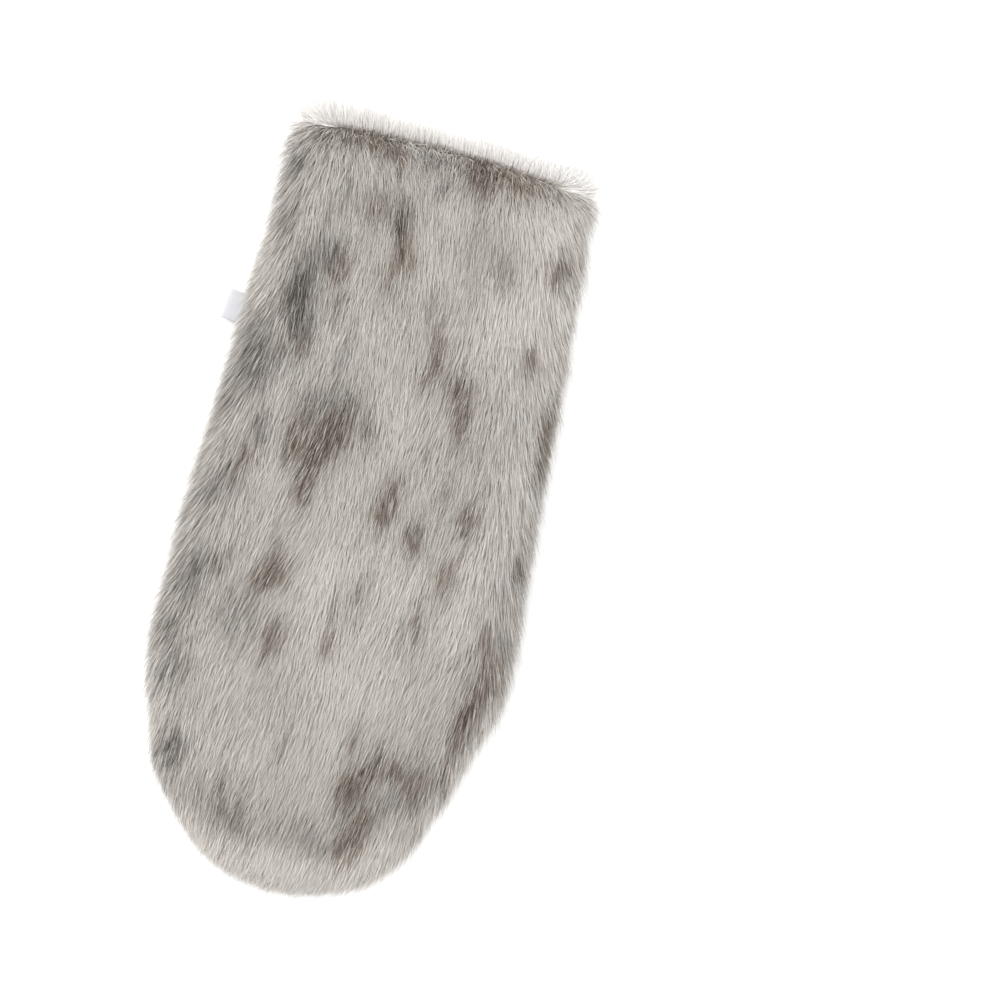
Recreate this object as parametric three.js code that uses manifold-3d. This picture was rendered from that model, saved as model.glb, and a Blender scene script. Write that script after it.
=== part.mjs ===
// Fur mitten lying palm down: a spotted seal-fur back with a turned-in fur
// facing at the cuff, a black leather palm drawn in at the wrist, a leather
// thumb folded flat across the palm, and a small folded label in the side seam.
//
// Millimetres. +Y runs from the finger tips to the cuff, +Z is up, and the
// mitten rests on Z = 0. Inside this file a place along the mitten is given as
// t, the distance from the cuff's rim towards the finger tips.

import * as THREE from 'three';
import { mergeVertices } from 'three/addons/utils/BufferGeometryUtils.js';
import Module from 'manifold-3d';

// ---------------------------------------------------------------- sizes
const PILE = 5.5;            // depth of the lying fur over the skin
const PELT = 1.3;            // the skin that carries the fur
const LEATHER = 1.4;         // palm and thumb leather
const GAP = 0.4;             // clearance between separate pieces
const END_FROM = 190;        // from here on the outline is the rounded end
const FUR_TIP = 283;         // t of the last fur, the skin and the seam at the finger end
const SKIN_TIP = 277.6;
const SEAM_TIP = 276;
const END_POWER = 1.9;       // roundness of the finger end
const SPINE_END = 232;       // where the crown line stops and the end rounds down
const ROUND = 0.8;           // exponent of the rounded sides: 1 is an ellipse
const RIM_DROP = 4.0;        // the cuff's rim slants back by this much at +X
const PALM_EDGE = 13;        // width of the palm's rolled edge
const BAND_T = 39;           // middle of the elastic wrist band
const BAND_LIFT = 2.2;       // how far the band lifts the palm off the table
const FACING_DEPTH = 22;     // how far the fur facing reaches into the cuff
const FACING_PILE = 4.5;
const FRINGE = 8;            // how far the facing's fur stands out of the rim
const THUMB_TOP = 9.6;       // thickness of the flattened thumb
const THUMB_EDGE = 9;        // width of the thumb's rounded edge
const THUMB_LIFT = 10.0;     // height of the palm where it lies over the thumb
const LABEL = { along: 11.4, thick: 0.8, t: 75.2, turn: 8 };
const CENTRE_X = 0;          // shifts that put the origin under the middle of the part
const CENTRE_Y = 137.5;

// One row for each station along the mitten, up to the rounded end.
// fur: half-width over the fur; seam: half-width at the side seam between fur
// and leather; seamZ: the seam's height; crown: height of the skin on the crown.
const SECTIONS = [
  { t: 0,   fur: 56.6, seam: 47.2, seamZ: 8.0,  crown: 21.0 },
  { t: 12,  fur: 57.6, seam: 47.2, seamZ: 8.0,  crown: 21.5 },
  { t: 34,  fur: 59.0, seam: 45.8, seamZ: 8.0,  crown: 22.0 },
  { t: 44,  fur: 59.6, seam: 45.7, seamZ: 8.5,  crown: 23.0 },
  { t: 67,  fur: 61.2, seam: 47.8, seamZ: 9.5,  crown: 26.5 },
  { t: 98,  fur: 62.5, seam: 51.2, seamZ: 10.5, crown: 29.5 },
  { t: 130, fur: 64.3, seam: 54.6, seamZ: 11.0, crown: 30.5 },
  { t: 160, fur: 66.0, seam: 58.2, seamZ: 10.0, crown: 29.0 },
  { t: 190, fur: 67.3, seam: 59.8, seamZ: 9.0,  crown: 26.5 },
  { t: 232, fur: 67.3, seam: 59.8, seamZ: 8.0,  crown: 24.0 },
  { t: 290, fur: 67.3, seam: 59.8, seamZ: 7.5,  crown: 22.0 },
];

// Outline of the flattened thumb, from the wrist end of its base seam round by
// the crotch, the tip and the folded edge.
const THUMB_OUTLINE = [
  { x: 10.8,  t: 84.0 },
  { x: 22.5,  t: 89.2 },
  { x: 33.0,  t: 108.7 },
  { x: 41.0,  t: 128.0 },
  { x: 40.4,  t: 141.0 },
  { x: 14.5,  t: 159.8 },
  { x: -13.3, t: 176.0 },
  { x: -26.5, t: 174.0 },
  { x: -36.0, t: 161.0 },
  { x: -18.2, t: 122.2 },
  { x: -1.0,  t: 90.0 },
];
const THUMB_MIDDLE = { x: 3, t: 134 };
// The mouth of the thumb: a long hole beside the base seam.
const THUMB_MOUTH = { x: 21.0, t: 116, half: 14, radius: 8.5, dx: 0.44, dt: 0.898 };

// Stations along one side, closer together at the wrist band.
const SIDE_STATIONS = [0, 9, 20, 29, 34, 39, 44, 51, 62, 74, 86, 98, 110, 122, 134, 146, 158, 170, 180, 190];
const END_STEPS = 9;

// ---------------------------------------------------------------- helpers
function column(name) {
  const rows = SECTIONS;
  const slope = (i) => {
    const a = rows[Math.max(i - 1, 0)], b = rows[Math.min(i + 1, rows.length - 1)];
    return (b[name] - a[name]) / (b.t - a.t);
  };
  return (t) => {
    let i = 0;
    while (i < rows.length - 2 && t > rows[i + 1].t) i++;
    const a = rows[i], b = rows[i + 1], w = b.t - a.t;
    const s = Math.min(Math.max((t - a.t) / w, 0), 1), s2 = s * s, s3 = s2 * s;
    return (2 * s3 - 3 * s2 + 1) * a[name] + (s3 - 2 * s2 + s) * w * slope(i)
      + (3 * s2 - 2 * s3) * b[name] + (s3 - s2) * w * slope(i + 1);
  };
}
const furHalf = column('fur');
const seamHalf = column('seam');
const seamZ = column('seamZ');
const crownZ = column('crown');
const lerp = (a, b, s) => a + (b - a) * s;
const smooth = (s) => { const q = Math.min(Math.max(s, 0), 1); return q * q * (3 - 2 * q); };

// Model coordinates of a place: the rim slants back a little on the +X side.
function lay(x, t, z) {
  const drop = RIM_DROP * Math.max(0, x / 52) ** 1.2 * Math.max(0, 1 - Math.max(t, 0) / 80);
  return new THREE.Vector3(x - CENTRE_X, CENTRE_Y - t - drop, z);
}

// Stations round the U-shaped outline: down the -X side, round the end, up the +X side.
const stations = [];
for (const t of SIDE_STATIONS) stations.push({ side: -1, t, end: 0 });
for (let i = 1; i <= END_STEPS; i++) stations.push({ side: -1, t: END_FROM, end: (Math.PI / 2) * i / END_STEPS });
for (let i = END_STEPS - 1; i >= 1; i--) stations.push({ side: 1, t: END_FROM, end: (Math.PI / 2) * i / END_STEPS });
for (const t of [...SIDE_STATIONS].reverse()) stations.push({ side: 1, t, end: 0 });

function rimPoint(station, half, tip, inset = 0) {
  if (station.end === 0) return { x: station.side * (half(station.t) - inset), t: station.t };
  const s = Math.sin(station.end) ** (2 / END_POWER);
  return {
    x: station.side * (half(END_FROM) - inset) * (station.end > Math.PI / 2 - 1e-9 ? 0 : Math.cos(station.end)),
    t: END_FROM + (tip - inset - END_FROM) * s,
  };
}
function spineT(station) {
  return station.end === 0 ? station.t : END_FROM + (SPINE_END - END_FROM) * Math.sin(station.end);
}

// The arch of one station: from the side seam, out round the edge, up to the crown.
// Each entry of the profile is { out, z } with out 1 at the widest place and 0 on the spine.
function archRow(station, wide, low, crown, midLift, lowZ, lowSteps, highSteps) {
  const st = spineT(station), mid = seamZ(wide.t) + midLift, rows = [];
  for (let i = 0; i < lowSteps; i++) {
    const a = (Math.PI / 2) * (1 - i / lowSteps);
    rows.push({
      x: low.x + (wide.x - low.x) * Math.cos(a), t: low.t + (wide.t - low.t) * Math.cos(a),
      z: mid - (mid - lowZ) * Math.sin(a),
    });
  }
  for (let i = 0; i <= highSteps; i++) {
    const a = (Math.PI / 2) * i / highSteps;
    const c = i === highSteps ? 0 : Math.cos(a) ** ROUND, s = Math.sin(a) ** ROUND;
    rows.push({ x: wide.x * c, t: st + (wide.t - st) * c, z: mid + (crown(st) - mid) * s });
  }
  return rows;
}

// A closed solid between two sheets of the same grid; the two halves of each
// sheet meet on the spine, where their vertices are the same.
function solidBetween(outer, inner) {
  const rows = outer.length, cols = outer[0].length, points = [], faces = [];
  const add = (sheet) => { const from = points.length; for (const r of sheet) points.push(...r); return from; };
  const o = add(outer), n = add(inner);
  const quad = (a, b, c, d) => { faces.push([a, b, c], [a, c, d]); };
  for (let k = 0; k < rows - 1; k++) {
    for (let j = 0; j < cols - 1; j++) {
      const at = k * cols + j;
      quad(o + at, o + at + 1, o + at + cols + 1, o + at + cols);
      quad(n + at, n + at + cols, n + at + cols + 1, n + at + 1);
    }
    const e = k * cols;
    quad(n + e, o + e, o + e + cols, n + e + cols);
  }
  for (let j = 0; j < cols - 1; j++) {
    quad(o + j, n + j, n + j + 1, o + j + 1);
    const e = (rows - 1) * cols + j;
    quad(n + e, o + e, o + e + 1, n + e + 1);
  }
  return geometryOf(points, faces);
}

function geometryOf(points, faces) {
  const flat = points.flatMap((p) => [p.x, p.y, p.z]);
  let g = new THREE.BufferGeometry();
  g.setAttribute('position', new THREE.Float32BufferAttribute(flat, 3));
  g.setIndex(faces.flat());
  g = mergeVertices(g, 1e-3);
  // Triangles that merging folded up are left out, and the faces are turned outwards.
  const p = g.getAttribute('position'), kept = [], index = g.getIndex().array;
  let volume = 0;
  const v = [new THREE.Vector3(), new THREE.Vector3(), new THREE.Vector3()];
  for (let i = 0; i < index.length; i += 3) {
    const [a, b, c] = [index[i], index[i + 1], index[i + 2]];
    if (a === b || b === c || a === c) continue;
    kept.push(a, b, c);
    [a, b, c].forEach((q, m) => v[m].fromBufferAttribute(p, q));
    volume += v[0].dot(v[1].clone().cross(v[2]));
  }
  if (volume < 0) for (let i = 0; i < kept.length; i += 3) [kept[i + 1], kept[i + 2]] = [kept[i + 2], kept[i + 1]];
  g.setIndex(kept);
  return g;
}

const wasm = await Module();
wasm.setup();
function toSolid(geometry) {
  const g = geometry.clone();
  g.deleteAttribute('normal');
  g.deleteAttribute('uv');
  const m = mergeVertices(g, 1e-3);
  return new wasm.Manifold(new wasm.Mesh({
    numProp: 3,
    vertProperties: new Float32Array(m.getAttribute('position').array),
    triVerts: new Uint32Array(m.getIndex().array),
  }));
}
function toGeometry(solid) {
  const m = solid.getMesh();
  const g = new THREE.BufferGeometry();
  g.setAttribute('position', new THREE.Float32BufferAttribute(new Float32Array(m.vertProperties), 3));
  g.setIndex(Array.from(m.triVerts));
  return g;
}

function distanceTo(outline, x, t) {
  let best = 1e9, inside = false;
  for (let i = 0; i < outline.length; i++) {
    const a = outline[i], b = outline[(i + 1) % outline.length];
    const dx = b.x - a.x, dt = b.t - a.t;
    const s = Math.min(Math.max(((x - a.x) * dx + (t - a.t) * dt) / (dx * dx + dt * dt), 0), 1);
    best = Math.min(best, Math.hypot(x - a.x - s * dx, t - a.t - s * dt));
    if ((a.t > t) !== (b.t > t) && x < a.x + ((t - a.t) / dt) * dx) inside = !inside;
  }
  return inside ? -best : best;
}

// ---------------------------------------------------------------- fur back
function furBack() {
  const outer = [], inner = [];
  for (const s of stations) {
    const fur = rimPoint(s, furHalf, FUR_TIP), seam = rimPoint(s, seamHalf, SEAM_TIP);
    const skin = rimPoint(s, furHalf, SKIN_TIP + PELT, PILE + PELT);
    skin.t = s.end === 0 ? skin.t : END_FROM + (SKIN_TIP - PELT - END_FROM) * Math.sin(s.end) ** (2 / END_POWER);
    const away = Math.hypot(fur.x - seam.x, fur.t - seam.t);
    const lip = { x: seam.x + (fur.x - seam.x) / away, t: seam.t + (fur.t - seam.t) / away };
    const z = seamZ(seam.t);
    outer.push(archRow(s, fur, lip, (t) => crownZ(t) + PILE, 2, Math.max(1.3, z - 4.5), 2, 8).map((p) => lay(p.x, p.t, p.z)));
    inner.push(archRow(s, skin, seam, (t) => crownZ(t) - PELT, 4, z + GAP, 2, 8).map((p) => lay(p.x, p.t, p.z)));
  }
  return solidBetween(outer, inner);
}

// ---------------------------------------------------------------- fur facing
// One section of the strip, as distance t along the mitten and depth below the
// pelt's inner face: inside the cuff it lines the pelt, and in front of the rim
// its fur stands out and spreads.
const FACING_SECTION = [
  { t: FACING_DEPTH, depth: GAP },
  { t: FACING_DEPTH, depth: GAP + 2.8 },
  { t: FACING_DEPTH - 5, depth: GAP + FACING_PILE },
  { t: -GAP, depth: GAP + FACING_PILE },
  { t: -4.5, depth: 3.6 },
  { t: -FRINGE, depth: 0.8 },
  { t: -FRINGE, depth: -1.6 },
  { t: -4.5, depth: -4.2 },
  { t: -GAP, depth: -5.6 },
  { t: -GAP, depth: GAP },
];
function facing() {
  const STEPS = 22, points = [], faces = [], n = FACING_SECTION.length;
  const arch = (u, t) => { // u from -1 to 1 over the arch at t
    const at = Math.max(t, 0), half = furHalf(at) - PILE - PELT, mid = seamZ(at) + 4;
    const a = (Math.PI / 2) * (1 - Math.abs(u));
    return new THREE.Vector2(Math.sign(u) * half * Math.cos(a) ** ROUND, mid + (crownZ(at) - PELT - mid) * Math.sin(a) ** ROUND);
  };
  for (let i = 0; i <= STEPS; i++) {
    const u = -0.985 + 1.97 * i / STEPS;
    for (const row of FACING_SECTION) {
      const p = arch(u, row.t), q = arch(u + 0.01, row.t).sub(arch(u - 0.01, row.t)).normalize();
      const down = new THREE.Vector2(q.y, -q.x);
      p.addScaledVector(down, row.depth);
      points.push(lay(p.x, row.t, p.y));
    }
  }
  for (let i = 0; i < STEPS; i++) {
    for (let j = 0; j < n; j++) {
      const a = i * n + j, b = i * n + (j + 1) % n;
      faces.push([a, b, b + n], [a, b + n, a + n]);
    }
  }
  // The two ends of the strip.
  const shape = FACING_SECTION.map((r) => new THREE.Vector2(r.t, r.depth));
  for (const tri of THREE.ShapeUtils.triangulateShape(shape, [])) {
    faces.push([tri[0], tri[2], tri[1]]);
    faces.push(tri.map((q) => STEPS * n + q));
  }
  return geometryOf(points, faces);
}

// ---------------------------------------------------------------- palm
// Height of the palm's outer face: on the table, lifted by the wrist band and
// over the thumb that is folded beneath it.
function palmFloor(x, t) {
  const band = BAND_LIFT * Math.exp(-(((t - BAND_T) / 9) ** 2));
  const over = smooth((17 - distanceTo(THUMB_OUTLINE, x, t)) / 12);
  return Math.max(band * (1 - over), 0) + THUMB_LIFT * over;
}
function palm() {
  const ins = [0, 0.6, 2.2, 5.2, 9, PALM_EDGE], steps = 6;
  const place = (s, j) => {
    const seam = rimPoint(s, seamHalf, SEAM_TIP, GAP + 0.1), st = spineT(s);
    const cuff = s.end === 0 && s.t === 0; // the palm's top edge sags back in the middle
    const len = Math.hypot(seam.x, seam.t - st);
    const d = j < ins.length ? ins[j] : lerp(PALM_EDGE, len, (j - ins.length + 1) / steps);
    const q = d / len;
    const x = j === ins.length - 1 + steps ? 0 : seam.x * (1 - q);
    const t = lerp(seam.t, st, q) + (cuff ? 1 + 3 * smooth(1 - Math.abs(x) / 44) : 0);
    const base = palmFloor(x, t), top = seamZ(t) - GAP;
    const edge = d >= PALM_EDGE ? 0 : 1 - Math.sqrt(1 - (1 - d / PALM_EDGE) ** 2);
    return lay(x, t, base + (Math.max(top, base + 0.5) - base) * edge);
  };
  const cols = ins.length + steps;
  const outer = stations.map((s) => Array.from({ length: cols }, (_, j) => place(s, j)));
  // The inner face lies one thickness inside, along the sheet's own normal. On
  // the spine both halves share one vertex, so its normal is taken across both.
  const at = (k, j) => {
    if (j < cols) return outer[k][j];
    return outer[outer.length - 1 - k][2 * (cols - 1) - j];
  };
  const inner = outer.map((row, k) => row.map((p, j) => {
    const k0 = Math.max(k - 1, 0), k1 = Math.min(k + 1, outer.length - 1);
    const along = at(k1, j).clone().sub(at(k0, j));
    const across = at(k, j + 1).clone().sub(at(k, Math.max(j - 1, 0)));
    let normal = along.cross(across).normalize();
    if (k === (outer.length - 1) / 2 && j === cols - 1) normal = new THREE.Vector3(0, 0, 1);
    if (j === cols - 1) normal.set(0, normal.y, normal.z).normalize();
    if (normal.z < 0) normal.negate();
    return p.clone().addScaledVector(normal, LEATHER);
  }));
  for (let k = 0; k < outer.length; k++) { // both halves of the spine get one height
    const m = outer.length - 1 - k;
    if (m > k) inner[m][cols - 1].copy(inner[k][cols - 1]);
  }
  return solidBetween(outer, inner);
}

// ---------------------------------------------------------------- thumb
function thumbOutline(inset) {
  const curve = new THREE.CatmullRomCurve3(THUMB_OUTLINE.map((p) => new THREE.Vector3(p.x, p.t, 0)), true, 'catmullrom', 0.35);
  return curve.getSpacedPoints(32).slice(0, 32).map((p) => {
    const dx = THUMB_MIDDLE.x - p.x, dt = THUMB_MIDDLE.t - p.y, len = Math.hypot(dx, dt);
    return { x: p.x + dx * inset / len, t: p.y + dt * inset / len };
  });
}
function pillow(inset, bottom, top) {
  const rim = thumbOutline(inset), rings = [0, 0.5, 2, 4.5, THUMB_EDGE], n = rim.length, middle = (bottom + top) / 2;
  const points = [], faces = [];
  for (const side of [1, -1]) {
    for (const d of rings) {
      for (const p of rim) {
        const dx = THUMB_MIDDLE.x - p.x, dt = THUMB_MIDDLE.t - p.t, len = Math.hypot(dx, dt);
        const rise = Math.sqrt(1 - (1 - d / THUMB_EDGE) ** 2) ** 0.9;
        points.push(lay(p.x + dx * d / len, p.t + dt * d / len, middle + side * rise * (top - bottom) / 2));
      }
    }
    points.push(lay(THUMB_MIDDLE.x, THUMB_MIDDLE.t, side > 0 ? top : bottom));
  }
  const half = rings.length * n + 1;
  for (const [from, turn] of [[0, false], [half, true]]) {
    const tri = (a, b, c) => faces.push(turn ? [a, c, b] : [a, b, c]);
    for (let r = 0; r < rings.length - 1; r++) {
      for (let i = 0; i < n; i++) {
        const a = from + r * n + i, b = from + r * n + (i + 1) % n;
        tri(a, b, b + n); tri(a, b + n, a + n);
      }
    }
    const last = from + (rings.length - 1) * n;
    for (let i = 0; i < n; i++) tri(last + i, last + (i + 1) % n, from + half - 1);
  }
  return geometryOf(points, faces);
}
function mouthCutter(grow) {
  const { x, t, half, radius, dx, dt } = THUMB_MOUTH, r = radius + grow, shape = new THREE.Shape();
  const y = CENTRE_Y - t, a = Math.atan2(-dt, dx), cx = Math.cos(a), cy = Math.sin(a);
  for (let i = 0; i <= 16; i++) {
    const b = a - Math.PI / 2 + Math.PI * (i % 9) / 8 + (i > 8 ? Math.PI : 0), side = i > 8 ? -1 : 1;
    if (i === 17) break;
    const px = x - CENTRE_X + side * half * cx + r * Math.cos(b), py = y + side * half * cy + r * Math.sin(b);
    if (i === 0) shape.moveTo(px, py); else shape.lineTo(px, py);
  }
  const g = new THREE.ExtrudeGeometry(shape, { depth: 12, bevelEnabled: false });
  g.translate(0, 0, 5);
  return toSolid(g);
}

// ---------------------------------------------------------------- label
// Section of the tab, out from the side seam and up: its root stands in the
// seam between fur and leather, and the tab runs out under the fur.
const LABEL_SECTION = [
  { out: 0.0, z: 5.8 },
  { out: 0.1, z: 5.0 },
  { out: 1.4,  z: 4.0 },
  { out: 8.0,  z: 3.5 },
  { out: 17.6, z: 2.6 },
];
function label() { // folded in two, the closed edge outwards
  const { along, thick } = LABEL, path = LABEL_SECTION.map((p) => new THREE.Vector2(-p.out, p.z));
  const left = [], right = [];
  path.forEach((p, i) => {
    const a = path[Math.max(i - 1, 0)], b = path[Math.min(i + 1, path.length - 1)];
    const d = b.clone().sub(a).normalize(), n = new THREE.Vector2(-d.y, d.x).multiplyScalar(thick / 2);
    const inset = i === path.length - 1 ? 0.35 : 1; // the fold is rounded
    left.push(p.clone().addScaledVector(n, inset));
    right.unshift(p.clone().addScaledVector(n, -inset));
  });
  const g = new THREE.ExtrudeGeometry(new THREE.Shape([...left, ...right]), { depth: along, bevelEnabled: false });
  g.translate(0, 0, -along / 2);
  return g;
}

// ---------------------------------------------------------------- the mitten
const fur = new THREE.MeshStandardMaterial({ color: 0xb9b3ac, roughness: 0.9, metalness: 0 });
const facingFur = new THREE.MeshStandardMaterial({ color: 0xd6cfc7, roughness: 0.9, metalness: 0 });
const blackLeather = new THREE.MeshStandardMaterial({ color: 0x2c2c2f, roughness: 0.55, metalness: 0 });
const thumbLeather = new THREE.MeshStandardMaterial({ color: 0x333336, roughness: 0.55, metalness: 0 });
const labelCloth = new THREE.MeshStandardMaterial({ color: 0xe9e9f2, roughness: 0.7, metalness: 0 });

const mitten = new THREE.Group();
const place = (name, geometry, material) => {
  const mesh = new THREE.Mesh(geometry, material);
  mesh.name = name;
  mitten.add(mesh);
  return mesh;
};

place('fur_back', furBack(), fur);
place('cuff_fur_facing', facing(), facingFur);
place('palm_leather', toGeometry(toSolid(palm()).subtract(mouthCutter(0))), blackLeather);
const pouch = toSolid(pillow(0, 0, THUMB_TOP))
  .subtract(toSolid(pillow(LEATHER + 0.2, LEATHER, THUMB_TOP - LEATHER)))
  .subtract(mouthCutter(0));
place('thumb_leather', toGeometry(pouch), thumbLeather);

const tab = label();
tab.rotateX(Math.PI / 2);
tab.rotateZ(-THREE.MathUtils.degToRad(LABEL.turn));
const root = lay(-seamHalf(LABEL.t), LABEL.t, 0);
tab.translate(root.x, root.y, 0);
place('side_label', tab, labelCloth);

export default mitten;
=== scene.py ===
# Fur mitten lying palm down: spotted seal fur on the back, a turned-in fur
# facing at the cuff, a black pebbled leather palm drawn in at the wrist, a
# leather thumb folded flat beneath it, and a small plain label in the side seam.
#
# Sizes below are in millimetres. A place on the mitten is given by x, across
# it, and t, the distance from the cuff's rim towards the finger tips.

import math

import bpy
import numpy as np
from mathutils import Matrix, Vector
from mathutils.bvhtree import BVHTree
from mathutils.kdtree import KDTree


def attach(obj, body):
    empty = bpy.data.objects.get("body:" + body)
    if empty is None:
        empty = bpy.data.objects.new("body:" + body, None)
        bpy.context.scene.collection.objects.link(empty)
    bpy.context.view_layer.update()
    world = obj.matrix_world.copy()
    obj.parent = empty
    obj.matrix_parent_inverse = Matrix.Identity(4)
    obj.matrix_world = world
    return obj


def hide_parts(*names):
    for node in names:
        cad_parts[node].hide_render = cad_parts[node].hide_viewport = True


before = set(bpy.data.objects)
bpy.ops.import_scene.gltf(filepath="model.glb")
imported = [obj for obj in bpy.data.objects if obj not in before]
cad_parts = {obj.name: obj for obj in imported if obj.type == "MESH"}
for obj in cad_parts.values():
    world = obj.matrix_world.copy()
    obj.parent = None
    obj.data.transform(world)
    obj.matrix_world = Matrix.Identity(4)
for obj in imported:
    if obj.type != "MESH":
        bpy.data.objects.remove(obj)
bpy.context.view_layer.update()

# ------------------------------------------------------------------ sizes
PILE = 5.5
PELT = 1.3
LEATHER = 1.4
GAP = 0.4
END_FROM = 190.0
FUR_TIP = 283.0
SKIN_TIP = 277.6
SEAM_TIP = 276.0
END_POWER = 1.9
SPINE_END = 232.0
ROUND = 0.8
RIM_DROP = 4.0
PALM_EDGE = 13.0
BAND_T = 39.0
BAND_LIFT = 2.2
FACING_DEPTH = 22.0
THUMB_TOP = 9.6
THUMB_EDGE = 9.0
THUMB_LIFT = 10.0
CENTRE_Y = 137.5

HAIR_LENGTH = 12.6
HAIR_WIDTH = 0.21
HAIRS_ON_BACK = 190000
HAIRS_ON_FACING = 31000

SECTIONS = [
    # t, fur half-width, seam half-width, seam height, crown height
    dict(t=0, fur=56.6, seam=47.2, seam_z=8.0, crown=21.0),
    dict(t=12, fur=57.6, seam=47.2, seam_z=8.0, crown=21.5),
    dict(t=34, fur=59.0, seam=45.8, seam_z=8.0, crown=22.0),
    dict(t=44, fur=59.6, seam=45.7, seam_z=8.5, crown=23.0),
    dict(t=67, fur=61.2, seam=47.8, seam_z=9.5, crown=26.5),
    dict(t=98, fur=62.5, seam=51.2, seam_z=10.5, crown=29.5),
    dict(t=130, fur=64.3, seam=54.6, seam_z=11.0, crown=30.5),
    dict(t=160, fur=66.0, seam=58.2, seam_z=10.0, crown=29.0),
    dict(t=190, fur=67.3, seam=59.8, seam_z=9.0, crown=26.5),
    dict(t=232, fur=67.3, seam=59.8, seam_z=8.0, crown=24.0),
    dict(t=290, fur=67.3, seam=59.8, seam_z=7.5, crown=22.0),
]

THUMB_OUTLINE = [
    dict(x=10.8, t=84.0), dict(x=22.5, t=89.2), dict(x=33.0, t=108.7),
    dict(x=41.0, t=128.0), dict(x=40.4, t=141.0), dict(x=14.5, t=159.8),
    dict(x=-13.3, t=176.0), dict(x=-26.5, t=174.0), dict(x=-36.0, t=161.0),
    dict(x=-18.2, t=122.2), dict(x=-1.0, t=90.0),
]
THUMB_MIDDLE = (3.0, 134.0)

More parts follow.
